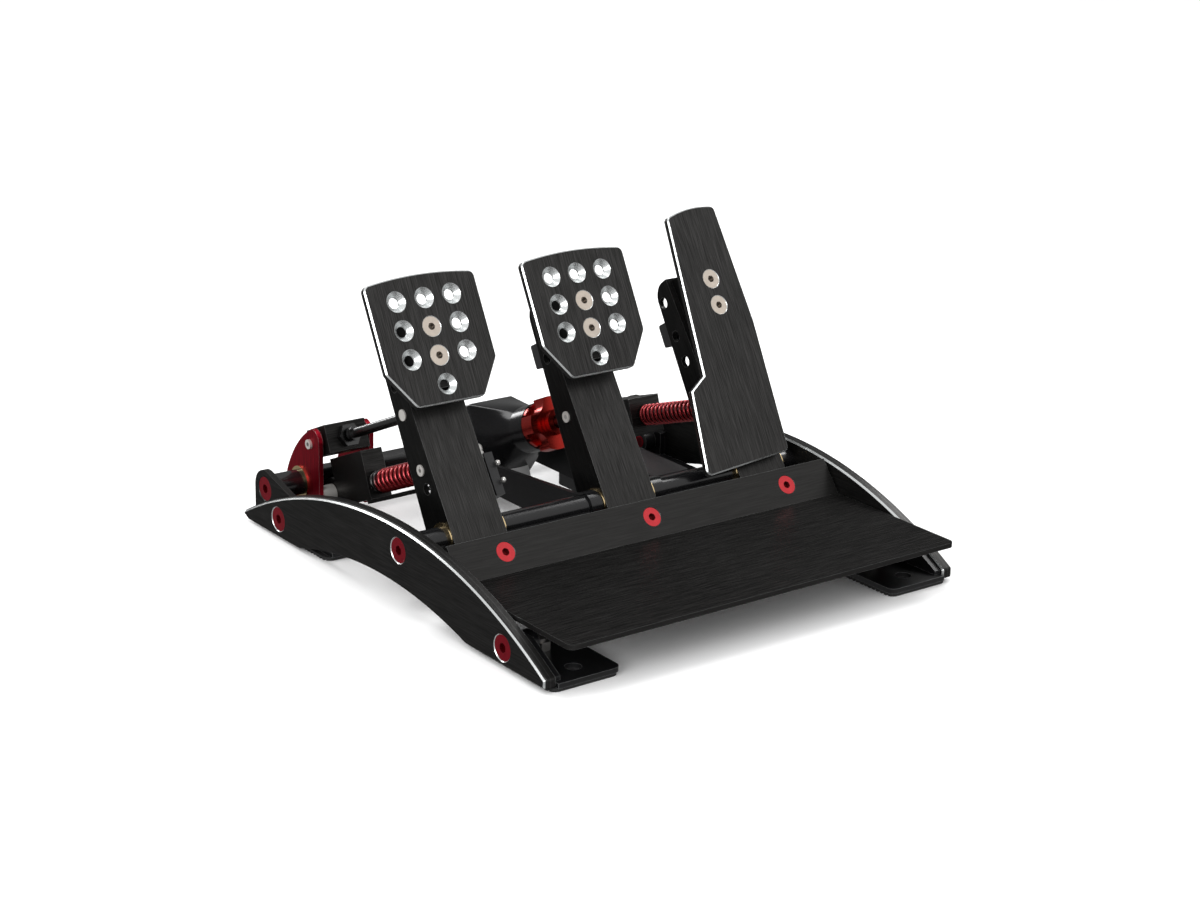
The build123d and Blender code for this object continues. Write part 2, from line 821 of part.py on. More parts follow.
# Throttle plate
throttle_back = face_plane(throttle_x, long_plate_tilt, plate_stand)
throttle_face = face_plane(throttle_x, long_plate_tilt, plate_stand + plate_sheet)
with BuildPart() as throttle_plate:
    with BuildSketch(throttle_back) as long_outline:
        with BuildLine():
            Polyline(
                (long_right, long_top),
                (long_waist_right, long_waist),
                (long_foot_right, long_foot + long_foot_rise),
                (long_foot_left, long_foot),
                (notch_low_x, notch_low),
                (notch_high_x, notch_high),
                (long_left, long_top_left),
            )
            top_middle = ((long_left + long_right) / 2, (long_top + long_top_left) / 2 + long_top_bulge)
            ThreePointArc((long_left, long_top_left), top_middle, (long_right, long_top))
        make_face()
        long_ends = long_outline.vertices().group_by(Axis.Y)
        fillet(long_ends[-1] + long_ends[-2] + long_ends[0] + long_ends[1], radius=long_corner)
    extrude(amount=plate_sheet)
    front_direction = Axis(throttle_face.origin, throttle_face.z_dir)
    chamfer(throttle_plate.faces().sort_by(front_direction)[-1].edges(), length=plate_bevel)
    with Locations(*[(throttle_face * Location((0, screw_low + k * hole_rise, 0))) for k in (0, 1)]):
        CounterSinkHole(screw_hole / 2, screw_sink / 2, counter_sink_angle=sink_angle)
save(throttle_plate, "throttle_plate")
make_wedge("throttle", throttle_x, throttle_tilt)
plate_screws("throttle_plate_screws", throttle_x, long_plate_tilt)

# Clutch push rod, with an eye on the arm's upper pin
rod_plane = link_plane(clutch_x, rod_rear, clutch_high)
rod_length = math.dist(rod_rear, clutch_high)
rod_end = pin_radius + 2 * rod_bore_gap
nut_front = rod_block_front + rod_nut
with BuildPart() as clutch_rod:
    with BuildSketch(rod_plane):
        with BuildLine():
            Polyline(
                (rod_end, 0),
                (rod_end, rod_radius),
                (nut_front + rod_collar / 2, rod_radius),
                (nut_front + rod_collar / 2, rod_collar_radius),
                (nut_front + 3 * rod_collar / 2, rod_collar_radius),
                (nut_front + 3 * rod_collar / 2, rod_radius),
                (rod_length, rod_radius),
                (rod_length, 0),
                close=True,
            )
        make_face()
    revolve(axis=link_axis(rod_plane))
    with BuildSketch(rod_plane):
        with Locations((rod_length, 0)):
            Circle(eye_radius)
    extrude(amount=eye_half, both=True)
    with BuildSketch(rod_plane):
        with Locations((rod_length, 0)):
            Circle(pin_radius + rod_eye_gap)
    extrude(amount=2 * eye_half, both=True, mode=Mode.SUBTRACT)
save(clutch_rod, "clutch_rod")

# Trunnion block that the push rod screws into, with its jam nut
with BuildPart() as clutch_rod_block:
    with BuildSketch(rod_plane):
        with Locations(((rod_block_front - rod_block_back) / 2, 0)):
            Rectangle(rod_block_front + rod_block_back, 2 * rod_block_half_height)
    extrude(amount=rod_block_half_width, both=True)
    chamfer(clutch_rod_block.edges().filter_by(Axis.X), length=edge_break)
    with BuildSketch(rod_plane):
        Circle(pin_radius + running_gap)
    extrude(amount=2 * rod_block_half_width, both=True, mode=Mode.SUBTRACT)
    with Locations(rod_plane * Location((rod_block_front, 0, 0), (0, 90, 0))):
        Hole(radius=rod_radius + rod_bore_gap, depth=rod_block_front)
save(clutch_rod_block, "clutch_rod_block")

with BuildPart() as clutch_rod_nut:
    nut_plane = Plane(rod_plane * Location((rod_block_front, 0, 0), (0, 90, 0)))
    with BuildSketch(nut_plane):
        RegularPolygon(radius=rod_nut_width / 2, side_count=6)
        Circle(rod_radius + rod_bore_gap, mode=Mode.SUBTRACT)
    extrude(amount=rod_nut)
save(clutch_rod_nut, "clutch_rod_nut")

# Crank: two plates on the rear tube, joined by two pins
with BuildPart() as clutch_crank_plates:
    for sign in (-1, 1):
        inner_x = clutch_x + sign * crank_half_gap
        with BuildSketch(Plane.YZ.offset(inner_x)) as crank_outline:
            with BuildLine():
                Line((crank_front_y, crank_bottom_z), (crank_front_y, crank_shoulder_z))
                RadiusArc((crank_front_y, crank_shoulder_z), (crank_top_y, crank_top_z), crank_top_y - crank_front_y)
                ThreePointArc(
                    (crank_top_y, crank_top_z), (crank_bulge_y, crank_bulge_z), (crank_back_y, crank_back_z)
                )
                back_radius = math.dist(rear_pin, (crank_back_y, crank_back_z))
                low_turn = math.radians(crank_low_angle)
                ThreePointArc(
                    (crank_back_y, crank_back_z),
                    (rear_y + back_radius * math.cos(low_turn), rear_z + back_radius * math.sin(low_turn)),
                    (rear_y, rear_z - back_radius),
                )
                Line((rear_y, rear_z - back_radius), (crank_front_y, crank_bottom_z))
            make_face()
            with Locations(rear_pin):
                Circle(bush_sleeve_radius, mode=Mode.SUBTRACT)
        extrude(amount=sign * crank_sheet)
        with BuildSketch(Plane.YZ.offset(inner_x)):
            with Locations(rod_rear):
                Circle(crank_boss_radius)
        extrude(amount=-sign * (crank_half_gap - rod_block_half_width - open_gap))
    front_low = clutch_crank_plates.edges().filter_by(Axis.X).group_by(Axis.Y)[0].group_by(Axis.Z)[0]
    fillet(front_low, radius=crank_corner)
    for place, depth in ((rod_rear, arm_width), (spring_rear, crank_half - crank_blind + running_gap)):
        with BuildSketch(Plane.YZ.offset(clutch_x)):
            with Locations(place):
                Circle(pin_radius + running_gap)
        extrude(amount=depth, both=True, mode=Mode.SUBTRACT)
save(clutch_crank_plates, "clutch_crank_plates")

# Pins across the crank: the upper one with button heads, the lower one trapped between its plates
with BuildPart() as clutch_crank_pins:
    for place, half in ((rod_rear, crank_half), (spring_rear, crank_half - crank_blind)):
        with BuildSketch(Plane.YZ.offset(clutch_x)):
            with Locations(place):
                Circle(pin_radius)
        extrude(amount=half, both=True)
    for sign in (-1, 1):
        with BuildSketch(Plane.YZ.offset(clutch_x + sign * crank_half)):
            with Locations(rod_rear):
                Circle(pin_button_radius)
        extrude(amount=sign * pin_button)
        with BuildSketch(Plane.YZ.offset(clutch_x + sign * (spring_block_half + open_gap))):
            with Locations(spring_rear):
                Circle(crank_boss_radius - crank_boss)
        extrude(amount=sign * (crank_half_gap - spring_block_half - open_gap))
save(clutch_crank_pins, "clutch_crank_pins")

# Clutch spring block on the crank's lower pin
spring_plane = link_plane(clutch_x, spring_rear, clutch_low)
spring_length = math.dist(spring_rear, clutch_low)
with BuildPart() as clutch_spring_block:
    with BuildSketch(spring_plane):
        Circle(spring_block_bottom)
        with BuildLine():
            Polyline(
                (0, -spring_block_bottom),
                (spring_block_front, -spring_block_bottom),
                (spring_block_front, spring_block_top),
                (spring_block_back, spring_block_top),
                (spring_block_back, 0),
                (0, 0),
                close=True,
            )
        make_face()
        with Locations((spring_block_front + tray_length / 2, -spring_block_bottom - tray_sheet / 2)):
            Rectangle(tray_length, tray_sheet)
        with Locations((spring_block_front - tray_sheet, -spring_block_bottom - tray_sheet / 2)):
            Rectangle(2 * tray_sheet, tray_sheet)
    extrude(amount=spring_block_half, both=True)
    with BuildSketch(spring_plane):
        Circle(pin_radius + running_gap)
    extrude(amount=2 * spring_block_half, both=True, mode=Mode.SUBTRACT)
    with Locations(spring_plane * Location((spring_block_front, 0, 0), (0, 90, 0))):
        Hole(radius=guide_radius + guide_bore_gap, depth=spring_block_front - guide_stop)
save(clutch_spring_block, "clutch_spring_block")


# Spring guide: an eye on the arm's pin, a seat for the spring and a rod inside it
def make_guide(name, plane, length, end):
    seat_front = length - seat_back
    with BuildPart() as guide:
        with BuildSketch(plane):
            with BuildLine():
                Polyline(
                    (end, 0),
                    (end, guide_radius),
                    (seat_front - seat_sheet, guide_radius),
                    (seat_front - seat_sheet, seat_radius),
                    (seat_front, seat_radius),
                    (seat_front, guide_radius),
                    (length, guide_radius),
                    (length, 0),
                    close=True,
                )
            make_face()
        revolve(axis=link_axis(plane))
        with BuildSketch(plane):
            with Locations((length, 0)):
                Circle(eye_radius)
        extrude(amount=eye_half, both=True)
        with BuildSketch(plane):
            with Locations((length, 0)):
                Circle(pin_radius + running_gap)
        extrude(amount=2 * eye_half, both=True, mode=Mode.SUBTRACT)
    save(guide, name)


make_guide("clutch_spring_guide", spring_plane, spring_length, clutch_guide_end)


# Wound spring between its block and its guide's seat: one unbroken wire in quarter turns
def make_spring(name, plane, back, front, coil_diameter, wire, pitch):
    start = back + wire / 2 + open_gap
    end = front - wire / 2 - open_gap
    end_pitch = wire + spring_end_gap
    inner_turns = round((end - start - 2 * end_pitch) / pitch)
    inner_pitch = (end - start - 2 * end_pitch) / inner_turns
    turns = inner_turns + 2 * closed_turns
    coil_radius = coil_diameter / 2

    def on_wire(quarter):
        turn = quarter / quarters
        near = min(turn, closed_turns) + max(turn - turns + closed_turns, 0)
        along = start + end_pitch * near + inner_pitch * (turn - near)
        angle = math.tau * turn
        return along, coil_radius * math.cos(angle), coil_radius * math.sin(angle)

    steps = range(quarters * turns)
    with BuildPart() as spring:
        with BuildLine(plane) as path:
            for k in steps:
                ThreePointArc(on_wire(k), on_wire(k + half_step), on_wire(k + 1))
        with BuildSketch(Plane(origin=path.line @ 0, z_dir=path.line % 0)):
            Circle(wire / 2)
        sweep()
    points = [on_wire(k * half_step) for k in range(2 * len(steps))]
    apart = 2 * quarters - 1
    least = min(math.dist(a, b) for i, a in enumerate(points) for b in points[i + apart :])
    print(f"{name}: {turns} turns, least gap to itself {least - wire:.2f} mm")
    tube = math.pi * wire**2 / 4 * sum(edge.length for edge in path.edges())
    print(f"{name}: volume {spring.part.volume:.0f}, section times length {tube:.0f}")
    save(spring, name)


make_spring(
    "clutch_spring",
    spring_plane,
    spring_block_front,
    spring_length - seat_back - seat_sheet,
    clutch_coil,
    clutch_wire,
    clutch_pitch,
)

# Throttle spring block, guide and spring
throttle_plane = link_plane(throttle_x, rear_pin, throttle_low)
throttle_length = math.dist(rear_pin, throttle_low)
with BuildPart() as throttle_spring_block:
    with BuildSketch(throttle_plane):
        Circle(throttle_block_half)
        with Locations((throttle_block_front / 2, 0)):
            Rectangle(throttle_block_front, 2 * throttle_block_half)
    extrude(amount=throttle_block_half, both=True)
    block_front = throttle_spring_block.faces().sort_by(link_axis(throttle_plane))[-1]
    chamfer(block_front.edges(), length=edge_break)
    with BuildSketch(throttle_plane):
        Circle(tube_radius + running_gap)
    extrude(amount=2 * throttle_block_half, both=True, mode=Mode.SUBTRACT)
    with Locations(throttle_plane * Location((throttle_block_front, 0, 0), (0, 90, 0))):
        Hole(radius=guide_radius + guide_bore_gap, depth=throttle_block_front - guide_stop)
save(throttle_spring_block, "throttle_spring_block")
make_guide("throttle_spring_guide", throttle_plane, throttle_length, throttle_guide_end)
make_spring(
    "throttle_spring",
    throttle_plane,
    throttle_block_front,
    throttle_length - seat_back - seat_sheet,
    throttle_coil,
    throttle_wire,
    throttle_pitch,
)

# Brake housing: a block on the rear tube that runs out into a cylinder
brake_plane = link_plane(brake_x, rear_pin, brake_front)
brake_length = math.dist(rear_pin, brake_front)


def across(plane, distance):
    """Plane square to a link, at a distance from its rear pin, facing forward."""
    return Plane(origin=(plane * Location((distance, 0, 0))).position, x_dir=(1, 0, 0), z_dir=plane.x_dir)


with BuildPart() as brake_housing:
    with BuildSketch(brake_plane):
        Circle(housing_lug)
        with Locations((housing_back / 2, 0)):
            Rectangle(housing_back, 2 * housing_lug)
    extrude(amount=housing_half_width, both=True)
    with BuildSketch(across(brake_plane, housing_back)):
        RectangleRounded(2 * housing_half_width, 2 * housing_half_height, housing_round)
    extrude(amount=housing_shoulder - housing_back)
    with BuildSketch(across(brake_plane, housing_shoulder)):
        RectangleRounded(2 * housing_half_width, 2 * housing_half_height, housing_round)
    with BuildSketch(across(brake_plane, housing_neck)):
        Circle(cylinder_radius)
    loft()
    with BuildSketch(across(brake_plane, housing_neck)):
        Circle(cylinder_radius)
    extrude(amount=cylinder_front - housing_neck)
    with BuildSketch(across(brake_plane, cylinder_floor)):
        Circle(cylinder_radius - cylinder_wall)
    extrude(amount=cylinder_front - cylinder_floor, mode=Mode.SUBTRACT)
    with BuildSketch(brake_plane):
        Circle(tube_radius + running_gap)
    extrude(amount=2 * housing_half_width, both=True, mode=Mode.SUBTRACT)
    with BuildSketch(brake_plane):
        with Locations(((cell_back + cell_front) / 2, -(cell_top + housing_half_height) / 2 - overrun)):
            Rectangle(cell_front - cell_back, housing_half_height - cell_top + 2 * overrun)
    extrude(amount=cell_half_width, both=True, mode=Mode.SUBTRACT)
save(brake_housing, "brake_housing")

with BuildPart() as brake_load_cell:
    with BuildSketch(brake_plane):
        with Locations(((cell_back + cell_front) / 2, -cell_top - cell_height / 2)):
            Rectangle(cell_front - cell_back, cell_height)
    extrude(amount=cell_half_width, both=True)
save(brake_load_cell, "brake_load_cell")

# Foam stack inside the cylinder
foam_length = (piston_head_back - cylinder_floor) / foam_count
with BuildPart() as brake_foams:
    for k in range(foam_count):
        with BuildSketch(across(brake_plane, cylinder_floor + k * foam_length)):
            Circle(foam_radius)
        extrude(amount=foam_length - open_gap)
save(brake_foams, "brake_foams")

with BuildPart() as brake_piston:
    with BuildSketch(brake_plane):
        with BuildLine():
            Polyline(
                (piston_head_back, 0),
                (piston_head_back, cylinder_radius - cylinder_wall - open_gap),
                (piston_head_back + piston_head, cylinder_radius - cylinder_wall - open_gap),
                (piston_head_back + piston_head, piston_radius),
                (brake_length, piston_radius),
                (brake_length, 0),
                close=True,
            )
        make_face()
    revolve(axis=link_axis(brake_plane))
    with BuildSketch(brake_plane):
        with Locations((brake_length, 0)):
            Circle(eye_radius)
    extrude(amount=eye_half, both=True)
    with BuildSketch(brake_plane):
        with Locations((brake_length, 0)):
            Circle(pin_radius + open_gap)
    extrude(amount=2 * eye_half, both=True, mode=Mode.SUBTRACT)
save(brake_piston, "brake_piston")

# Preload knob: a notched crown, a lobed grip and a grooved boss round the piston
knob_grip = knob_back + knob_crown
knob_face = knob_grip + knob_body
with BuildPart() as brake_knob:
    with BuildSketch(across(brake_plane, knob_back)):
        Circle(knob_crown_radius)
        with PolarLocations(knob_crown_radius, knob_notches):
            Rectangle(knob_notch, knob_notch, mode=Mode.SUBTRACT)
    extrude(amount=knob_crown)
    with BuildSketch(across(brake_plane, knob_grip)):
        Circle(knob_radius)
        with PolarLocations(knob_scallop_centre, knob_lobes, start_angle=knob_turn):
            Circle(knob_scallop_radius, mode=Mode.SUBTRACT)
    extrude(amount=knob_body)
    with BuildSketch(across(brake_plane, knob_face)):
        Circle(knob_boss_radius)
    extrude(amount=knob_boss)
    with BuildSketch(across(brake_plane, knob_face + knob_groove)):
        Circle(knob_boss_radius)
        Circle(knob_boss_radius - knob_groove_depth, mode=Mode.SUBTRACT)
    extrude(amount=knob_groove, mode=Mode.SUBTRACT)
    with BuildSketch(across(brake_plane, knob_back)):
        Circle(piston_radius + open_gap)
    extrude(amount=knob_face + knob_boss - knob_back, mode=Mode.SUBTRACT)
save(brake_knob, "brake_knob")

# Rails that tie the two tubes together beside the brake
for side, sign in (("left", -1), ("right", 1)):
    with BuildPart() as brake_rail:
        with BuildSketch(Plane.YZ.offset(brake_x + sign * rail_half_gap)):
            with BuildLine():
                Polyline(
                    (front_y, rail_bottom_z),
                    (front_y, rail_front_z),
                    (rear_y, rail_rear_z),
                    (rear_y, rail_bottom_z),
                    close=True,
                )
            make_face()
            with Locations((front_y, front_z), (rear_y, rear_z)):
                Circle(tube_radius, mode=Mode.SUBTRACT)
            with Locations((front_y - tube_radius, front_z)):
                Rectangle(2 * tube_radius, crown_z, mode=Mode.SUBTRACT)
        extrude(amount=sign * rail_sheet)
    save(brake_rail, f"brake_rail_{side}")

# Spacers between those rails and the brake arm's bushes
with BuildPart() as brake_spacers:
    spacer_inner = arm_width / 2 + bush_flange + open_gap
    for sign in (-1, 1):
        with BuildSketch(Plane.YZ.offset(brake_x + sign * spacer_inner)):
            with Locations((front_y, front_z)):
                Circle(bush_sleeve_radius)
                Circle(tube_radius + running_gap, mode=Mode.SUBTRACT)
        extrude(amount=sign * (rail_half_gap - spacer_inner))
save(brake_spacers, "brake_spacers")

# Electronics box on the right rail
box_left_x = brake_x + rail_half_gap + rail_sheet
with BuildPart() as electronics_box:
    with BuildSketch(Plane.XY.offset(box_z[0])):
        with Locations(((box_left_x + box_right_x) / 2, (box_y[0] + box_y[1]) / 2)):
            Rectangle(box_right_x - box_left_x, box_y[1] - box_y[0])
    extrude(amount=box_z[1] - box_z[0])
    fillet(electronics_box.edges().filter_by(Axis.Z), radius=box_corner)
save(electronics_box, "electronics_box")

# Position sensor on a post beside the clutch arm
sensor_x = clutch_x + arm_width / 2
sensor_plane = arm_plane(sensor_x, arm_tilt)
with BuildPart() as clutch_sensor:
    with BuildSketch(sensor_plane.offset(sensor_gap)):
        with Locations(((sensor_low + sensor_high) / 2, (sensor_front - sensor_back) / 2)):
            Rectangle(sensor_high - sensor_low, sensor_front + sensor_back)
    extrude(amount=sensor_sheet)
    with BuildSketch(sensor_plane):
        with Locations(((sensor_low + sensor_high) / 2, (sensor_front - sensor_back) / 2)):
            Circle(sensor_post)
    extrude(amount=sensor_gap)
save(clutch_sensor, "clutch_sensor")


# Vibration motor on the back of an arm
def make_motor(name, x, tilt):
    middle = (motor_low + motor_high) / 2
    slope = math.tan(math.radians(arm_taper))
    seat = -arm_rear + middle * slope
    middle_place = arm_plane(x, tilt) * Location((middle, seat, 0))
    along_edge = arm_plane(x, tilt - arm_taper).x_dir
    with BuildPart() as motor:
        with BuildSketch(Plane(origin=middle_place.position, x_dir=along_edge, z_dir=(1, 0, 0))):
            with Locations((0, -motor_depth / 2)):
                RectangleRounded(motor_high - motor_low, motor_depth, motor_corner)
        extrude(amount=motor_half_width + arm_wall, both=True)
    save(motor, name)


make_motor("brake_motor", brake_x, arm_tilt)
make_motor("throttle_motor", throttle_x, throttle_tilt)
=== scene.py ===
"""Sim racing pedal set: finishes, wound springs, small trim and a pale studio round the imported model."""

import json
import math

import bmesh
import bpy
from mathutils import Matrix, Vector


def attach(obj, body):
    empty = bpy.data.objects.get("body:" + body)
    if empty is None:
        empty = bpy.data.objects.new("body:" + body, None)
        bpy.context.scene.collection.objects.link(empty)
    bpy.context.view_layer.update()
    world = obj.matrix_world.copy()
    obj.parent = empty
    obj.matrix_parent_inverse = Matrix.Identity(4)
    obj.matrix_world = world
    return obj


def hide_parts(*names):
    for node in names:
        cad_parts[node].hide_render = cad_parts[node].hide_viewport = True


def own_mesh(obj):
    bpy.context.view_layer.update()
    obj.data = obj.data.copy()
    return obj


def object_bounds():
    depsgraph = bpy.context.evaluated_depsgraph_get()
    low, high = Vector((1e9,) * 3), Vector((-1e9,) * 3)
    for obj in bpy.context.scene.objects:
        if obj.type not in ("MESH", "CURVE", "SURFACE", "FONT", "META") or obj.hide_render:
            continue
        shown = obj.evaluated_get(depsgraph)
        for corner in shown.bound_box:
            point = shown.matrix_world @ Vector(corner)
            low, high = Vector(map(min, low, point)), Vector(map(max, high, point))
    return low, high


bl_info = {
    "name": "Sim Racing Pedal Set",
    "version": (1, 0, 0),
    "blender": (4, 5, 0),
    "location": "3D View > Sidebar > Pedals",
    "description": "Finishes, springs, trim and studio for a sim racing pedal set",
    "category": "Object",
}

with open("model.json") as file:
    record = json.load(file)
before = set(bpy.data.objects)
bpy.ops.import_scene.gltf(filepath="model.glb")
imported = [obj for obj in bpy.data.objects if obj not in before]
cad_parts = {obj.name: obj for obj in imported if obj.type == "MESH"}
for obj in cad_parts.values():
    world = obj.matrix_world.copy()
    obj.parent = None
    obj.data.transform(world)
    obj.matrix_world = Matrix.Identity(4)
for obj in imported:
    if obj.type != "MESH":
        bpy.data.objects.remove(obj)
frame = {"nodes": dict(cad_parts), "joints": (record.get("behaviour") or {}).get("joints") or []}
cad_low, cad_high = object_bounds()

MM = 0.001
X_AXIS = Vector((1.0, 0.0, 0.0))
Y_AXIS = Vector((0.0, 1.0, 0.0))
Z_AXIS = Vector((0.0, 0.0, 1.0))


def at(x, y, z):
    """Place in the frame, from millimetres."""
    return Vector((x, y, z)) * MM


# How far each arm leans back, how much less its plate does, and the pins' heights up the arms
ARM_TILTS = {"clutch": math.radians(34.0), "brake": math.radians(34.0), "throttle": math.radians(36.6)}
ARM_TAPER = math.radians(5.5)
CLUTCH_LOW_PIN = 42.2 * MM
BRAKE_PIN = 55.9 * MM

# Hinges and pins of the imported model
HINGES = {joint["name"]: Vector(joint["pos_m"]) for joint in frame["joints"] if "pos_m" in joint}
PEDAL_HINGES = {pedal: HINGES[f"{pedal}_press"] for pedal in ARM_TILTS}
REAR_AXIS = HINGES["clutch_crank_turn"]
CRANK_PIN = HINGES["clutch_rod_turn"]

# Lower screw's height up a pedal plate, and the plate's holes by column and row from that screw
SCREW_LOW = 102.2 * MM
HOLE_PITCH = 18.8 * MM
HOLE_RISE = 17.1 * MM
TEN_HOLES = [(column, row) for row in range(3) for column in (-1, 0, 1)] + [(0, -1)]
TWO_HOLES = [(0, 0), (0, 1)]
PLATE_SINK = 6.2 * MM

# Side plates and heel rest
SIDE_SCREWS = [at(0.0, -115.3, 13.0), at(0.0, -12.5, 35.7), at(0.0, 121.7, 13.0)]
SIDE_SINK = 7.3 * MM
BEVEL_FROM = 147.8 * MM
RAIL_END = at(0.0, -48.2, 33.9)
FLANGE_TILT = math.radians(90.0 - 51.0)
KICK_SCREWS = [at(x, -54.3, 39.07) for x in (-104.0, 0.0, 104.0)]

# Trim of the clutch's sensor, with profiles of (along, radius) in millimetres
SENSOR_SCREWS = [at(-70.0, 3.42, 68.82), at(-70.0, -2.76, 60.12)]
SCREW_DOME = [(-1.0, 1.5), (0.5, 1.6), (0.9, 1.4), (1.2, 0.9), (1.3, 0.7), (0.9, 0.5)]
SENSOR_PLUG = at(-76.0, 12.5, 71.5)
PLUG_STEPS = [(-2.0, 2.6), (2.0, 2.6), (2.0, 2.1), (3.2, 2.1), (3.2, 2.6), (5.6, 2.6), (6.4, 2.0), (7.0, 1.4)]

# Foams of the brake cylinder in millimetres
FOAM_COUNT = 3
FOAM_STACK = 25.0
FOAM_GAP = 0.3
FOAM_RADIUS = 10.4
FOAM_RIM = 9.6
FOAM_ROUNDING = 0.8

# Radii of the sockets in the screws and of the dimples in the pins, which are painted dark as shade
WIDE_SOCKET = 2.9 * MM
KICK_SOCKET = 2.3 * MM
PLATE_SOCKET = 2.1 * MM
BRAKE_PIN_DIMPLE = 1.4 * MM
CRANK_PIN_DIMPLE = 1.3 * MM
CLUTCH_PIN_DIMPLE = 1.2 * MM

# Brush lines and bands, as (length, width), and how much of the shade each gives
BRUSH_LINES = (16 * MM, 0.19 * MM)
BRUSH_BANDS = (60 * MM, 0.6 * MM)
LINE_SHARE = 0.8
BAND_SHARE = 0.13
CLOUD_SHARE = 0.07
SHADE_LOW = 0.38
SHADE_HIGH = 0.66

# Roughness of the sheets, and how much smoother their light lines and their fresh cuts are
SHEET_ROUGHNESS = 0.38
LINE_POLISH = 0.06
CUT_POLISH = 0.10

# How far the bright edges, partly wear and partly painted highlight, reach in from an edge
SHEET_WEAR_AND_GLINT = 0.35 * MM
COAT_WEAR_AND_GLINT = 0.4 * MM

# Colours that hold for one finish
KICK_RED = (0.62, 0.05, 0.06)
KNOB_RED = (0.46, 0.03, 0.022)
SPRING_RED = (0.34, 0.012, 0.018)
# Near black painted over the clutch spring's first turns, a painted shadow of its block
SPRING_SHADOW = (0.012, 0.010, 0.010)
PLATING = (0.66, 0.58, 0.50)
BRASS = (0.86, 0.66, 0.36)
ALUMINIUM = (0.7, 0.7, 0.7)
PIN_STEEL = (0.62, 0.60, 0.57)
TRIM_STEEL = (0.6, 0.59, 0.57)
NUT_STEEL = (0.5, 0.49, 0.47)
BLACK_STEEL = (0.10, 0.10, 0.10)
GUIDE_STEEL = (0.06, 0.06, 0.06)
PAD_RUBBER = (0.012, 0.012, 0.012)
SENSOR_PLASTIC = (0.012, 0.012, 0.013)
CASE_PLASTIC = (0.014, 0.014, 0.015)
FOAM_BLACK = (0.02, 0.02, 0.02)
FLOOR_LOW = (0.95, 0.95, 0.95)
FLOOR_HIGH = (0.98, 0.98, 0.98)

# Studio: half width of the floor, the canopy's brightest side, and the soft lamps by name,
# place, size and share of the lamp power
FLOOR_REACH = 6.0
CANOPY_TOP = Vector((0.0, -0.5, 0.85)).normalized()
LAMPS = (
    ("left_softbox", (-1.4, -0.6, 0.8), 0.8, 0.9),
    ("top_softbox", (0.1, 0.1, 1.7), 0.6, 0.5),
    ("right_softbox", (1.1, 0.2, 1.1), 0.5, 0.5),
    ("rear_softbox", (-0.7, 1.6, 1.2), 0.8, 0.9),
    ("back_strip", (0.05, 1.9, 0.45), 0.4, 0.35),
)


def directions(tilt):
    """Directions up and out of the front of a part that leans back by an angle."""
    up = Vector((0.0, math.sin(tilt), math.cos(tilt)))
    out = Vector((0.0, -math.cos(tilt), math.sin(tilt)))
    return up, out


# Values a user would change
class PedalFinishes(bpy.types.PropertyGroup):
    anodised: bpy.props.FloatVectorProperty(
        name="Black Anodising",
        description="Colour of the black brushed sheets",
        subtype="COLOR",
        default=(0.041, 0.040, 0.039),
        min=0.0,
        max=1.0,
    )
    red: bpy.props.FloatVectorProperty(
        name="Red Anodising",
        description="Colour of the crank plates and the side plates' screws",
        subtype="COLOR",
        default=(0.36, 0.004, 0.018),
        min=0.0,
        max=1.0,
    )
    coat: bpy.props.FloatVectorProperty(
        name="Black Coat",
        description="Colour of the tubes, the rails, the feet and the brake housing",
        subtype="COLOR",
        default=(0.0045, 0.0045, 0.005),
        min=0.0,
        max=1.0,
    )
    bare_metal: bpy.props.FloatVectorProperty(
        name="Bare Metal",
        description="Colour of the countersinks and bevels cut through the anodising",
        subtype="COLOR",
        default=(0.72, 0.74, 0.74),
        min=0.0,
        max=1.0,
    )
    brush_depth: bpy.props.FloatProperty(
        name="Brush Depth",
        description="How deep the brush lines look",
        default=0.012 * MM,
        min=0.0,
        subtype="DISTANCE",
        unit="LENGTH",
        precision=6,
    )


class PedalStage(bpy.types.PropertyGroup):
    camera_place: bpy.props.FloatVectorProperty(
        name="Camera Place",
        description="Where the camera stands",
        subtype="TRANSLATION",
        unit="LENGTH",
        default=(-0.8501, -1.1113, 0.5346),
    )
    camera_yaw: bpy.props.FloatProperty(
        name="Camera Yaw",
        description="Turn of the camera from straight ahead towards the right",
        subtype="ANGLE",
        unit="ROTATION",
        default=math.radians(37.479),
    )
    camera_drop: bpy.props.FloatProperty(
        name="Camera Drop",
        description="How far the camera looks down",
        subtype="ANGLE",
        unit="ROTATION",
        default=math.radians(18.561),
    )
    camera_roll: bpy.props.FloatProperty(
        name="Camera Roll",
        description="Roll of the camera about its line of sight",
        subtype="ANGLE",
        unit="ROTATION",
        default=math.radians(1.537),
    )
    lens: bpy.props.FloatProperty(
        name="Lens",
        description="Focal length on a sensor 36 mm wide",
        subtype="DISTANCE_CAMERA",
        default=74.25,
        min=1.0,
    )
    lamp_power: bpy.props.FloatProperty(
        name="Lamp Power",
        description="Power that each soft lamp has its share of",
        subtype="POWER",
        unit="POWER",
        default=13.0,
        min=0.0,
    )
    room_light: bpy.props.FloatProperty(
        name="Room Light",
        description="Strength of the light from all round",
        default=1.0,
        min=0.0,
    )
    room_gloss: bpy.props.FloatProperty(
        name="Room Gloss",
        description="Strength of the room in the object's reflections",
        default=0.32,
        min=0.0,
    )


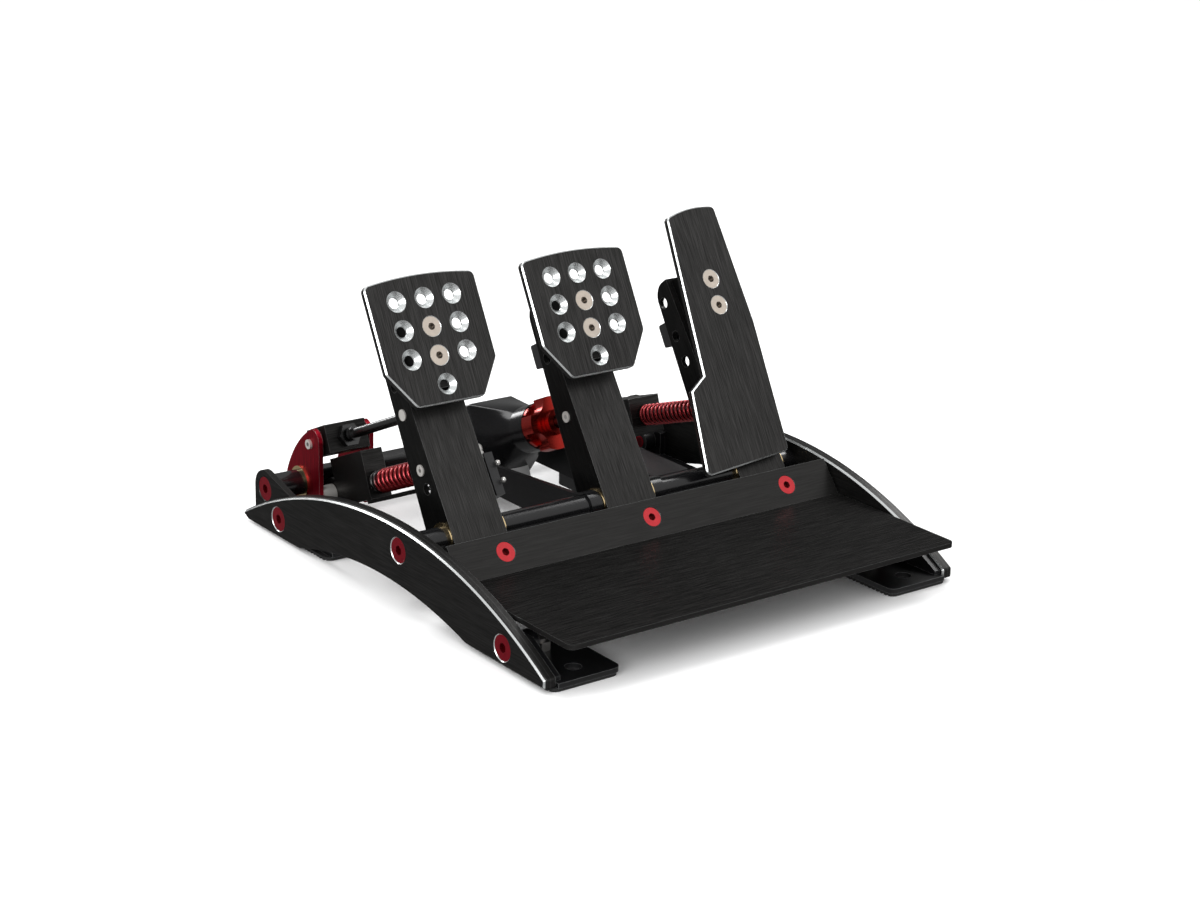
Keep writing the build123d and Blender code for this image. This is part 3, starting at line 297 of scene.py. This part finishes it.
# Shader maths
class Value:
    """A number on its way through a node tree. Maths on it adds nodes."""

    def __init__(self, nodes, socket):
        self.nodes = nodes
        self.socket = socket

    def math(self, operation, *others):
        return self.nodes.node("ShaderNodeMath", {"operation": operation}, [self, *others])

    def __add__(self, other):
        return self.math("ADD", other)

    def __radd__(self, other):
        return self.math("ADD", other)

    def __sub__(self, other):
        return self.math("SUBTRACT", other)

    def __rsub__(self, other):
        return self.nodes.node("ShaderNodeMath", {"operation": "SUBTRACT"}, [other, self])

    def __mul__(self, other):
        return self.math("MULTIPLY", other)

    def __rmul__(self, other):
        return self.math("MULTIPLY", other)

    def __truediv__(self, other):
        return self.math("DIVIDE", other)

    def __gt__(self, other):
        return self.math("GREATER_THAN", other)

    def __lt__(self, other):
        return self.math("LESS_THAN", other)


class Nodes:
    """A node tree, and the one way in which nodes are added to it."""

    def __init__(self, tree):
        self.tree = tree

    def node(self, kind, settings=None, sockets=(), output=0):
        """Adds a node: its settings first, then the values or links of its sockets."""
        made = self.tree.nodes.new(kind)
        for name, value in (settings or {}).items():
            setattr(made, name, value)
        pairs = sockets.items() if isinstance(sockets, dict) else enumerate(sockets)
        for key, value in pairs:
            self.feed(made.inputs[key], value)
        return Value(self, made.outputs[output])

    def feed(self, socket, value):
        """Links a value to a socket, or sets a plain number, colour or direction on it."""
        if isinstance(value, Value):
            self.tree.links.new(value.socket, socket)
        elif socket.type == "RGBA":
            socket.default_value = (*value, 1.0)
        else:
            socket.default_value = value

    def vector_math(self, operation, first, second=None, output=0):
        sockets = [first] if second is None else [first, second]
        return self.node("ShaderNodeVectorMath", {"operation": operation}, sockets, output)

    def dot(self, first, second):
        return self.vector_math("DOT_PRODUCT", first, second, "Value")

    def ramp(self, value, low, high, to_low=0.0, to_high=1.0):
        """Maps a value's range smoothly to another."""
        settings = {"interpolation_type": "SMOOTHSTEP"}
        return self.node("ShaderNodeMapRange", settings, [value, low, high, to_low, to_high])


class Finish(Nodes):
    """One material, with its shader and the places that its patterns are measured from."""

    def __init__(self, name, **settings):
        self.material = bpy.data.materials.new(name)
        self.material.use_nodes = True
        super().__init__(self.material.node_tree)
        self.shader = self.tree.nodes["Principled BSDF"]
        self.set(**settings)

    def set(self, **settings):
        """Sets sockets of the shader. An underscore in a name stands for a space."""
        for name, value in settings.items():
            label = name.replace("_", " ").title().replace("Ior", "IOR")
            self.feed(self.shader.inputs[label], value)

    def place(self):
        return self.node("ShaderNodeTexCoord", output="Object")

    def along(self, direction, origin=(0.0, 0.0, 0.0)):
        """Distance from an origin along a direction, in metres."""
        return self.dot(self.vector_math("SUBTRACT", self.place(), origin), direction)

    def nearest(self, direction, places):
        """Distance from the nearest of some lines that run along a direction, in metres."""
        distance = None
        for place in places:
            offset = self.vector_math("SUBTRACT", self.place(), place)
            across = self.vector_math("CROSS_PRODUCT", offset, direction)
            reach = self.vector_math("LENGTH", across, output="Value")
            distance = reach if distance is None else distance.math("MINIMUM", reach)
        return distance

    def facing(self, direction):
        """How far a surface faces along a direction, 1 where it faces straight that way."""
        return self.dot(self.node("ShaderNodeNewGeometry", output="True Normal"), direction)

    def leaning(self, direction, low=0.3, high=0.9):
        """Mask of the bevels round a face that looks along a direction."""
        share = self.facing(direction)
        return (share > low) * (share < high)

    def edges(self, reach, dull=0.03, bright=0.16, samples=6):
        """Mask of the sharp edges, painted bright partly as wear and partly as painted highlight."""
        rounded = self.node("ShaderNodeBevel", {"samples": samples}, {"Radius": reach})
        flat = self.node("ShaderNodeNewGeometry", output="True Normal")
        return self.ramp(1.0 - self.dot(rounded, flat), dull, bright)

    def noise(self, scale, detail=2.0, place=None):
        values = {"Vector": place or self.place(), "Scale": scale, "Detail": detail}
        return self.node("ShaderNodeTexNoise", {}, values)

    def streaks(self, grain, length, width):
        """Fine lines along the first of three directions, with the other two square to it."""
        run, across, over = (self.along(direction) for direction in grain)
        place = self.node("ShaderNodeCombineXYZ", {}, [run / length, across / width, over / width])
        return self.noise(1.0, 3.0, place)

    def mix(self, share, first, second):
        colours = {0: share, 6: first, 7: second}
        return self.node("ShaderNodeMix", {"data_type": "RGBA"}, colours, output=2)

    def mottle(self, share, colour, low, high):
        """A colour that varies between two shares of itself."""
        return self.mix(share, darker(colour, low), darker(colour, high))

    def bump(self, height, distance):
        self.set(normal=self.node("ShaderNodeBump", {}, {"Height": height, "Distance": distance}))


def finishes():
    """The colours and depths that the user has set."""
    return bpy.context.scene.pedal_finishes


def darker(colour, share):
    """A share of a colour."""
    return tuple(channel * share for channel in colour)


def uneven(roughness, cloud, spread):
    """Roughness that varies with a noise by a spread."""
    return roughness + (cloud - 0.5) * spread


def dress(finish, *nodes):
    """Gives CAD nodes a finish."""
    for name in nodes:
        slots = frame["nodes"][name].data.materials
        slots.clear()
        slots.append(finish.material)


# Finishes
def brushed(
    name, grain, *, colour=None, tint=1.0, contrast=0.5, edge=0.3, rim=0.7, bare=None, facing_shade=None
):
    """Anodised sheet with brush lines, bright edges and bare metal where a mask says.

    The grain is three directions: along the lines, across them and out of the sheet. Tint scales
    the colour, contrast spreads it over the lines, edge is how bright the edges are painted, partly
    as wear and partly as painted highlight, and rim is how bright the sheet turns where it is seen
    at a slant. Facing shade holds a direction, and the share of the colour on the faces square to
    it, which paints shade on them.
    """
    values = finishes()
    base = values.anodised if colour is None else colour
    finish = Finish(name, metallic=0.85, specular_tint=(rim, rim, rim))
    lines = finish.streaks(grain, *BRUSH_LINES)
    bands = finish.streaks(grain, *BRUSH_BANDS)
    cloud = finish.noise(14.0)
    blend = lines * LINE_SHARE + bands * BAND_SHARE + cloud * CLOUD_SHARE
    shade = finish.ramp(blend, SHADE_LOW, SHADE_HIGH)
    surface = finish.mottle(shade, base, (1.0 - contrast) * tint, (1.0 + contrast) * tint)
    # Painted shade: faces square to the given direction get their own share of the colour.
    if facing_shade is not None:
        direction, share = facing_shade
        facing_shade_mask = finish.ramp(finish.facing(direction).math("ABSOLUTE"), 0.7, 0.9)
        surface = finish.mix(facing_shade_mask, surface, finish.mottle(shade, base, 0.3 * share, 1.7 * share))
    # Bright edges in bare metal: partly wear and partly painted highlight.
    surface = finish.mix(finish.edges(SHEET_WEAR_AND_GLINT) * edge, surface, values.bare_metal)
    rough = SHEET_ROUGHNESS - shade * LINE_POLISH
    if bare is not None:
        mask = bare(finish)
        surface = finish.mix(mask, surface, values.bare_metal)
        rough = rough - mask * CUT_POLISH
    finish.set(base_color=surface, roughness=rough)
    finish.bump(lines, values.brush_depth)
    return finish


def coated(name, roughness, specular=0.35, edge=0.0):
    """Smooth black coat with faint orange peel and uneven gloss."""
    values = finishes()
    finish = Finish(name, specular_ior_level=specular)
    cloud = finish.noise(45.0)
    paint = finish.mottle(cloud, values.coat, 0.8, 1.2)
    # Bright edges on the coat: partly wear and partly painted highlight.
    if edge > 0:
        paint = finish.mix(finish.edges(COAT_WEAR_AND_GLINT) * edge, paint, values.bare_metal)
    finish.set(base_color=paint, roughness=uneven(roughness, cloud, 0.08))
    finish.bump(finish.noise(260.0, 1.0), 0.003 * MM)
    return finish


def metal(name, colour, roughness, metallic=1.0, cloud_scale=400.0):
    """Plain metal with fine uneven polish."""
    finish = Finish(name, metallic=metallic)
    cloud = finish.noise(cloud_scale, 3.0)
    finish.set(
        base_color=finish.mottle(cloud, colour, 0.85, 1.1),
        roughness=uneven(roughness, cloud, 0.12),
    )
    finish.bump(cloud, 0.006 * MM)
    return finish


def screw(name, colour, direction, places, socket_radius, *, roughness=0.3, shade=0.3, metallic=0.9):
    """Metal screws or pins, with painted shade in the sockets round the lines through some places."""
    finish = Finish(name, metallic=metallic)
    cloud = finish.noise(300.0, 3.0)
    # Painted shade: each socket or dimple gets a darker share of the metal's colour.
    socket = finish.nearest(direction, places) < socket_radius
    plating = finish.mottle(cloud, colour, 0.85, 1.12)
    finish.set(
        base_color=finish.mix(socket, plating, darker(colour, shade)),
        roughness=uneven(roughness, cloud, 0.12) + socket * 0.2,
    )
    finish.bump(cloud, 0.004 * MM)
    return finish


def moulded(name, colour, roughness):
    """Black moulded plastic, rubber or foam with a fine pebble."""
    finish = Finish(name)
    pebble = finish.noise(900.0)
    cloud = finish.noise(60.0)
    finish.set(
        base_color=finish.mottle(cloud, colour, 0.8, 1.25),
        roughness=uneven(roughness, pebble, 0.15),
    )
    finish.bump(pebble, 0.03 * MM)
    return finish


def lacquered(name, start, direction, coil_radius, shadow_length):
    """Glossy red lacquer on a wound wire, with painted shade inside the coil and painted shadow on its first
    turns.
    """
    finish = Finish(name, metallic=0.8, coat_weight=0.7, coat_roughness=0.12)
    cloud = finish.noise(180.0)
    lacquer = finish.mottle(cloud, SPRING_RED, 0.75, 1.05)
    # Painted shade: the half of the wire that faces the coil's axis is painted almost black.
    reach = finish.nearest(direction, [start])
    inner_shade = finish.ramp(reach, coil_radius + 0.2 * MM, coil_radius - 0.5 * MM)
    lacquer = finish.mix(inner_shade, lacquer, darker(SPRING_RED, 0.08))
    # Painted shadow: the first turns, which the block shades, are painted near black.
    if shadow_length > 0:
        along = finish.along(direction, start) + (cloud - 0.5) * 2.0 * MM
        shadowed_turns = finish.ramp(along, shadow_length, shadow_length * 0.8)
        lacquer = finish.mix(shadowed_turns, lacquer, SPRING_SHADOW)
    finish.set(base_color=lacquer, roughness=uneven(0.22, cloud, 0.1))
    finish.bump(cloud, 0.004 * MM)
    return finish


# Meshes
def circle(shape, centre, side, other, radius, segments):
    """New corners round a centre, in the plane of two directions."""
    corners = []
    for step in range(segments):
        angle = math.tau * step / segments
        corners.append(shape.verts.new(centre + (side * math.cos(angle) + other * math.sin(angle)) * radius))
    return corners


def skinned(name, shape, rings):
    """Mesh of the surface through some rings of corners, closed at both ends."""
    for first, second in zip(rings, rings[1:]):
        for step in range(len(first)):
            after = (step + 1) % len(first)
            shape.faces.new((first[step], first[after], second[after], second[step]))
    shape.faces.new(list(reversed(rings[0])))
    shape.faces.new(rings[-1])
    bmesh.ops.recalc_face_normals(shape, faces=shape.faces)
    mesh = bpy.data.meshes.new(name)
    shape.to_mesh(mesh)
    shape.free()
    return mesh


def swept(name, points, radius, segments=10):
    """Mesh of a round wire along points."""
    shape = bmesh.new()
    rings = []
    side = None
    for index, point in enumerate(points):
        ahead = points[min(index + 1, len(points) - 1)] - points[max(index - 1, 0)]
        ahead.normalize()
        side = X_AXIS.cross(ahead) if side is None else side - ahead * side.dot(ahead)
        side.normalize()
        rings.append(circle(shape, point, side, ahead.cross(side), radius, segments))
    return skinned(name, shape, rings)


def turned(name, origin, axis, profile, segments):
    """Mesh of a profile of (along, radius) pairs in millimetres, turned round an axis."""
    side = axis.orthogonal().normalized()
    other = axis.cross(side)
    shape = bmesh.new()
    rings = []
    for along, radius in profile:
        centre = origin + axis * (along * MM)
        rings.append(circle(shape, centre, side, other, radius * MM, segments))
    return skinned(name, shape, rings)


def coil(start, direction, length, coil_radius, wire, turns, gap=0.5 * MM, per_turn=28):
    """Points of a wire wound round a line, with a narrow gap in its first and last turns."""
    up = direction.cross(X_AXIS)
    closed = wire + gap
    open_pitch = (length - wire - 2 * closed) / (turns - 2)
    points = []
    for step in range(turns * per_turn + 1):
        turn = step / per_turn
        near = min(turn, 1.0) + max(turn - turns + 1, 0.0)
        along = wire / 2 + closed * near + open_pitch * (turn - near)
        angle = math.tau * turn
        around = X_AXIS * math.cos(angle) + up * math.sin(angle)
        points.append(start + direction * along + around * coil_radius)
    return points


def foam_profile():
    """Half section of the stacked foams, each with rounded rims, in millimetres."""
    profile = [(0.1, FOAM_RIM)]
    for foam in range(FOAM_COUNT):
        low = FOAM_STACK * foam / FOAM_COUNT
        high = FOAM_STACK * (foam + 1) / FOAM_COUNT - FOAM_GAP
        profile += [
            (low + 0.2, FOAM_RIM),
            (low + FOAM_ROUNDING, FOAM_RADIUS),
            (high - FOAM_ROUNDING, FOAM_RADIUS),
            (high - 0.1, FOAM_RIM),
        ]
    return profile


def new_piece(name, mesh, body, finish, smooth=True):
    """Puts a finished mesh into the scene as a piece that moves with a body."""
    for face in mesh.polygons:
        face.use_smooth = smooth
    piece = bpy.data.objects.new(name, mesh)
    bpy.context.scene.collection.objects.link(piece)
    mesh.materials.append(finish.material)
    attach(piece, body)
    return piece


def wound_spring(pedal, seat, direction, length, coil_radius, wire_radius, turns, shadow_length):
    """Wound spring of a pedal, on the block that carries it.

    The seat is the (y, z) of its fixed end in millimetres.
    """
    start = Vector((PEDAL_HINGES[pedal].x, seat[0] * MM, seat[1] * MM))
    points = coil(start, direction, length, coil_radius, 2 * wire_radius, turns)
    wire = swept(f"{pedal}_spring_wire", points, wire_radius)
    finish = lacquered(f"{pedal}_spring_red", start, direction, coil_radius, shadow_length)
    spring = new_piece(f"{pedal}_spring_wire", wire, f"{pedal}_block", finish)
    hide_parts(f"{pedal}_spring")
    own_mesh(spring)


class PedalOperator:
    """What the operators share."""

    bl_options = {"REGISTER", "UNDO"}


class PEDALS_OT_side_plates(PedalOperator, bpy.types.Operator):
    """Brushed black side plates with bright bevels and countersinks"""

    bl_idname = "pedals.side_plates"
    bl_label = "Side Plates"

    def execute(self, context):
        grain = (Y_AXIS, Z_AXIS, X_AXIS)
        for side, outward in (("left", -X_AXIS), ("right", X_AXIS)):

            def outer_bare(finish, outward=outward):
                bevel = finish.leaning(outward) * (finish.along(outward) > BEVEL_FROM)
                sinks = finish.nearest(X_AXIS, SIDE_SCREWS) < SIDE_SINK
                return sinks.math("MAXIMUM", bevel)

            def inner_bare(finish, outward=outward):
                return finish.leaning(-outward)

            outer = brushed(f"outer_plate_{side}", grain, tint=0.75, edge=0.1, bare=outer_bare)
            inner = brushed(f"inner_plate_{side}", grain, tint=0.7, edge=0.15, bare=inner_bare)
            dress(outer, f"outer_plate_{side}")
            dress(inner, f"inner_plate_{side}")
        return {"FINISHED"}


class PEDALS_OT_heel_rest(PedalOperator, bpy.types.Operator):
    """Heel rest brushed from side to side, on its rail"""

    bl_idname = "pedals.heel_rest"
    bl_label = "Heel Rest"

    def execute(self, context):
        grain = (X_AXIS, *directions(FLANGE_TILT))
        # Painted shade: the flat top of the heel plate is painted darker and more streaked.
        heel_top_shade = (Z_AXIS, 0.9)
        sheet = brushed("heel_sheet", grain, tint=0.85, contrast=0.2, edge=0.25, rim=0.3, facing_shade=heel_top_shade)
        dress(sheet, "heel_rest")
        dress(brushed("rail_bar", grain), "kick_rail")
        return {"FINISHED"}


class PEDALS_OT_tubes(PedalOperator, bpy.types.Operator):
    """Glossy cross tubes, rails and spacers"""

    bl_idname = "pedals.tubes"
    bl_label = "Cross Tubes"

    def execute(self, context):
        tube_coat = coated("tube_coat", roughness=0.2, specular=0.5)
        dress(tube_coat, "front_pivot_tube", "rear_cross_tube", "brake_spacers")
        dress(coated("rail_coat", roughness=0.4, specular=0.25), "brake_rail_left", "brake_rail_right")
        return {"FINISHED"}


class PEDALS_OT_feet(PedalOperator, bpy.types.Operator):
    """Folded feet, ribbed rubber pads and their nuts"""

    bl_idname = "pedals.feet"
    bl_label = "Feet"

    def execute(self, context):
        feet = [f"{end}_foot_{side}" for end in ("front", "rear") for side in ("left", "right")]
        dress(coated("foot_coat", roughness=0.35, specular=0.4, edge=0.25), *feet)
        dress(moulded("pad_rubber", PAD_RUBBER, roughness=0.75), "front_pads", "rear_pads")
        dress(metal("nut_steel", NUT_STEEL, roughness=0.3), "pad_nuts")
        return {"FINISHED"}


class PEDALS_OT_arms(PedalOperator, bpy.types.Operator):
    """Pedal arms brushed along their length, with wedges and vibration motors"""

    bl_idname = "pedals.arms"
    bl_label = "Pedal Arms"

    def execute(self, context):
        for pedal, tilt in ARM_TILTS.items():
            up, out = directions(tilt)
            # Painted shade: the arm's faces square to X are painted at a darker share of the colour.
            sheet = brushed(f"{pedal}_arm_sheet", (up, X_AXIS, out), tint=1.05, facing_shade=(X_AXIS, 0.4))
            dress(sheet, f"{pedal}_arm")
            dress(brushed(f"{pedal}_wedge_block", (X_AXIS, up, out), tint=0.35), f"{pedal}_wedge")
        dress(moulded("motor_case", CASE_PLASTIC, roughness=0.45), "brake_motor", "throttle_motor")
        return {"FINISHED"}


class PEDALS_OT_plates(PedalOperator, bpy.types.Operator):
    """Pedal plates brushed up and down, with bare countersinks, bevels and plated screws"""

    bl_idname = "pedals.plates"
    bl_label = "Pedal Plates"

    def execute(self, context):
        for pedal, tilt in ARM_TILTS.items():
            up, out = directions(tilt - ARM_TAPER)
            screws = self.lines(pedal, up, TWO_HOLES)
            holes = screws if pedal == "throttle" else self.lines(pedal, up, TEN_HOLES)

            def bare(finish, holes=holes, out=out):
                sinks = finish.nearest(out, holes) < PLATE_SINK
                return sinks.math("MAXIMUM", finish.leaning(out))

            sheet = brushed(f"{pedal}_plate_sheet", (up, X_AXIS, out), tint=1.05, edge=0.06, bare=bare)
            plating = screw(f"{pedal}_screw_plating", PLATING, out, screws, PLATE_SOCKET, roughness=0.32)
            dress(sheet, f"{pedal}_plate")
            dress(plating, f"{pedal}_plate_screws")
        return {"FINISHED"}

    def lines(self, pedal, up, holes):
        """Places that the axes of a plate's holes run through."""
        lower_screw = PEDAL_HINGES[pedal] + up * SCREW_LOW
        return [lower_screw + X_AXIS * column * HOLE_PITCH + up * row * HOLE_RISE for column, row in holes]


class PEDALS_OT_fasteners(PedalOperator, bpy.types.Operator):
    """Red screws, bright pins and brass bushes"""

    bl_idname = "pedals.fasteners"
    bl_label = "Fasteners"

    def execute(self, context):
        red = finishes().red
        side = screw("side_screw_red", red, X_AXIS, SIDE_SCREWS, WIDE_SOCKET, shade=0.5)
        dress(side, "side_screws")
        inner = screw("inner_screw_red", red, X_AXIS, [REAR_AXIS, RAIL_END], WIDE_SOCKET, shade=0.5)
        dress(inner, "inner_plate_screws")
        _, kick_out = directions(FLANGE_TILT)
        looks = {"roughness": 0.34, "shade": 0.35}
        kick = screw("kick_screw_red", KICK_RED, kick_out, KICK_SCREWS, KICK_SOCKET, **looks)
        dress(kick, "kick_screws")
        clutch_pin = self.on_arm("clutch", CLUTCH_LOW_PIN)
        brake_pin = self.on_arm("brake", BRAKE_PIN)
        for name, node, place, dimple, shade in (
            ("clutch_pin_steel", "clutch_pins", clutch_pin, CLUTCH_PIN_DIMPLE, 0.25),
            ("brake_pin_steel", "brake_pin", brake_pin, BRAKE_PIN_DIMPLE, 0.6),
            ("crank_pin_steel", "clutch_crank_pins", CRANK_PIN, CRANK_PIN_DIMPLE, 0.2),
        ):
            steel = screw(name, PIN_STEEL, X_AXIS, [place], dimple, shade=shade, metallic=0.6)
            dress(steel, node)
        dress(metal("pin_steel", PIN_STEEL, roughness=0.3, metallic=0.6), "throttle_pin")
        brass = metal("bush_brass", BRASS, roughness=0.24)
        dress(brass, "clutch_bushes", "brake_bushes", "throttle_bushes", "clutch_crank_bushes")
        return {"FINISHED"}

    def on_arm(self, pedal, height):
        """Place up the middle of a pedal's arm."""
        up, _ = directions(ARM_TILTS[pedal])
        return PEDAL_HINGES[pedal] + up * height


class PEDALS_OT_clutch_linkage(PedalOperator, bpy.types.Operator):
    """Red crank, push rod, spring block and spring"""

    bl_idname = "pedals.clutch_linkage"
    bl_label = "Clutch Linkage"

    def execute(self, context):
        crank = brushed("crank_red", (Z_AXIS, Y_AXIS, X_AXIS), colour=finishes().red, tint=0.8, edge=0.5)
        dress(crank, "clutch_crank_plates")
        grain = (X_AXIS, Z_AXIS, Y_AXIS)
        dress(brushed("rod_block_sheet", grain, tint=0.8), "clutch_rod_block")
        dress(brushed("spring_block_sheet", grain, tint=0.8), "clutch_spring_block")
        dress(metal("rod_steel", BLACK_STEEL, roughness=0.25), "clutch_rod", "clutch_rod_nut")
        guide = metal("guide_steel", GUIDE_STEEL, roughness=0.3)
        dress(guide, "clutch_spring_guide", "throttle_spring_guide")
        wound_spring(
            "clutch",
            seat=(85.64, 38.3),
            direction=Vector((0.0, -0.9173, 0.3981)),
            length=64.2 * MM,
            coil_radius=6.2 * MM,
            wire_radius=1.3 * MM,
            turns=13,
            # How far the painted shadow of the block reaches over the spring's first turns
            shadow_length=9.0 * MM,
        )
        return {"FINISHED"}


class PEDALS_OT_brake_cylinder(PedalOperator, bpy.types.Operator):
    """Glossy brake housing with its load cell, piston, foams and red knob"""

    bl_idname = "pedals.brake_cylinder"
    bl_label = "Brake Cylinder"

    def execute(self, context):
        dress(coated("housing_coat", roughness=0.2, specular=0.25), "brake_housing")
        dress(metal("cell_aluminium", ALUMINIUM, roughness=0.35), "brake_load_cell")
        dress(metal("piston_steel", BLACK_STEEL, roughness=0.25), "brake_piston")
        dress(metal("knob_red", KNOB_RED, roughness=0.24, metallic=0.95, cloud_scale=120.0), "brake_knob")
        start = Vector((PEDAL_HINGES["brake"].x, 102.61 * MM, 44.0 * MM))
        direction = Vector((0.0, -0.9107, 0.4131))
        stack = turned("brake_foam_stack", start, direction, foam_profile(), segments=40)
        finish = moulded("foam_black", FOAM_BLACK, roughness=0.8)
        foams = new_piece("brake_foam_stack", stack, "brake_cylinder", finish)
        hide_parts("brake_foams")
        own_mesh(foams)
        return {"FINISHED"}


class PEDALS_OT_throttle_linkage(PedalOperator, bpy.types.Operator):
    """Throttle spring block and spring"""

    bl_idname = "pedals.throttle_linkage"
    bl_label = "Throttle Linkage"

    def execute(self, context):
        block = brushed("throttle_block_sheet", (X_AXIS, Z_AXIS, Y_AXIS), tint=0.8)
        dress(block, "throttle_spring_block")
        wound_spring(
            "throttle",
            seat=(92.88, 42.46),
            direction=Vector((0.0, -0.9472, 0.3204)),
            length=67.6 * MM,
            coil_radius=6.1 * MM,
            wire_radius=1.1 * MM,
            turns=16,
            shadow_length=0.0,
        )
        return {"FINISHED"}


class PEDALS_OT_electronics(PedalOperator, bpy.types.Operator):
    """Electronics box, and the position sensor with its screws and plug"""

    bl_idname = "pedals.electronics"
    bl_label = "Electronics"

    def execute(self, context):
        dress(moulded("box_plastic", CASE_PLASTIC, roughness=0.42), "electronics_box")
        dress(moulded("sensor_plastic", SENSOR_PLASTIC, roughness=0.38), "clutch_sensor")
        steel = metal("trim_steel", TRIM_STEEL, roughness=0.3, metallic=0.7)
        for number, place in enumerate(SENSOR_SCREWS, 1):
            name = f"sensor_screw_{number}"
            head = turned(name, place, X_AXIS, SCREW_DOME, segments=20)
            new_piece(name, head, "clutch_pedal", steel)
        up, _ = directions(ARM_TILTS["clutch"])
        plug = turned("sensor_plug", SENSOR_PLUG, up, PLUG_STEPS, segments=24)
        new_piece("sensor_plug", plug, "clutch_pedal", steel, smooth=False)
        return {"FINISHED"}


class PEDALS_OT_stage(PedalOperator, bpy.types.Operator):
    """Pale floor, soft lamps, white room and the camera"""

    bl_idname = "pedals.stage"
    bl_label = "Stage"

    def execute(self, context):
        values = context.scene.pedal_stage
        self.floor()
        self.room(values)
        self.lamps(values)
        self.camera(values)
        context.scene.view_settings.view_transform = "Standard"
        return {"FINISHED"}

    def add(self, name, data):
        """Puts an object of the stage into the scene."""
        made = bpy.data.objects.new(name, data)
        bpy.context.scene.collection.objects.link(made)
        return made

    def floor(self):
        mesh = bpy.data.meshes.new("floor")
        shape = bmesh.new()
        bmesh.ops.create_grid(shape, x_segments=1, y_segments=1, size=FLOOR_REACH)
        shape.to_mesh(mesh)
        shape.free()
        floor = self.add("floor", mesh)
        finish = Finish("floor_paper", roughness=0.9, specular_ior_level=0.1)
        finish.set(base_color=finish.mix(finish.noise(8.0), FLOOR_LOW, FLOOR_HIGH))
        mesh.materials.append(finish.material)
        floor.visible_glossy = False

    def room(self, values):
        """White for the camera, even light on the object, and a canopy in its reflections."""
        world = bpy.data.worlds.new("room")
        world.use_nodes = True
        bpy.context.scene.world = world
        room = Nodes(world.node_tree)
        height = room.dot(room.node("ShaderNodeTexCoord", output="Generated"), CANOPY_TOP)
        canopy = room.ramp(height, -0.2, 0.8, values.room_gloss * 0.7, values.room_gloss * 2.6)
        glossy = room.node("ShaderNodeLightPath", output="Is Glossy Ray")
        seen = room.node("ShaderNodeLightPath", output="Is Camera Ray")
        unseen = values.room_light + glossy * (canopy - values.room_light)
        background = world.node_tree.nodes["Background"]
        room.feed(background.inputs["Color"], (1.0, 1.0, 1.0))
        room.feed(background.inputs["Strength"], unseen + seen * (1.0 - unseen))

    def lamps(self, values):
        aim = (cad_low + cad_high) / 2
        for name, place, size, share in LAMPS:
            lamp = bpy.data.lights.new(name, "AREA")
            lamp.shape = "SQUARE"
            lamp.size = size
            lamp.energy = values.lamp_power * share
            box = self.add(name, lamp)
            box.location = place
            box.rotation_mode = "QUATERNION"
            box.rotation_quaternion = (aim - Vector(place)).to_track_quat("-Z", "Y")

    def camera(self, values):
        yaw, drop, roll = values.camera_yaw, values.camera_drop, values.camera_roll
        ahead = Vector((math.sin(yaw) * math.cos(drop), math.cos(yaw) * math.cos(drop), -math.sin(drop)))
        level = Vector((math.cos(yaw), -math.sin(yaw), 0.0))
        upright = level.cross(ahead)
        right = level * math.cos(roll) + upright * math.sin(roll)
        up = upright * math.cos(roll) - level * math.sin(roll)
        data = bpy.data.cameras.new("photo_camera")
        data.sensor_width = 36.0
        data.lens = values.lens
        data.clip_end = 100.0
        camera = self.add("photo_camera", data)
        turn = Matrix((right, up, -ahead)).transposed()
        camera.matrix_world = Matrix.Translation(values.camera_place) @ turn.to_4x4()
        bpy.context.scene.camera = camera


class PEDALS_PT_panel(bpy.types.Panel):
    """Pedal set"""

    bl_label = "Pedal Set"
    bl_space_type = "VIEW_3D"
    bl_region_type = "UI"
    bl_category = "Pedals"

    def draw(self, context):
        for group in (context.scene.pedal_finishes, context.scene.pedal_stage):
            column = self.layout.column()
            for name in group.__annotations__:
                column.prop(group, name)
        for operator in OPERATORS:
            self.layout.operator(operator.bl_idname)


OPERATORS = (
    PEDALS_OT_side_plates,
    PEDALS_OT_heel_rest,
    PEDALS_OT_tubes,
    PEDALS_OT_feet,
    PEDALS_OT_arms,
    PEDALS_OT_plates,
    PEDALS_OT_fasteners,
    PEDALS_OT_clutch_linkage,
    PEDALS_OT_brake_cylinder,
    PEDALS_OT_throttle_linkage,
    PEDALS_OT_electronics,
    PEDALS_OT_stage,
)
CLASSES = (PedalFinishes, PedalStage, *OPERATORS, PEDALS_PT_panel)


def register():
    for cls in CLASSES:
        bpy.utils.register_class(cls)
    bpy.types.Scene.pedal_finishes = bpy.props.PointerProperty(type=PedalFinishes)
    bpy.types.Scene.pedal_stage = bpy.props.PointerProperty(type=PedalStage)


def unregister():
    del bpy.types.Scene.pedal_stage
    del bpy.types.Scene.pedal_finishes
    for cls in reversed(CLASSES):
        bpy.utils.unregister_class(cls)


def main():
    register()
    for operator in OPERATORS:
        group, name = operator.bl_idname.split(".")
        getattr(getattr(bpy.ops, group), name)()


if __name__ == "__main__":
    main()
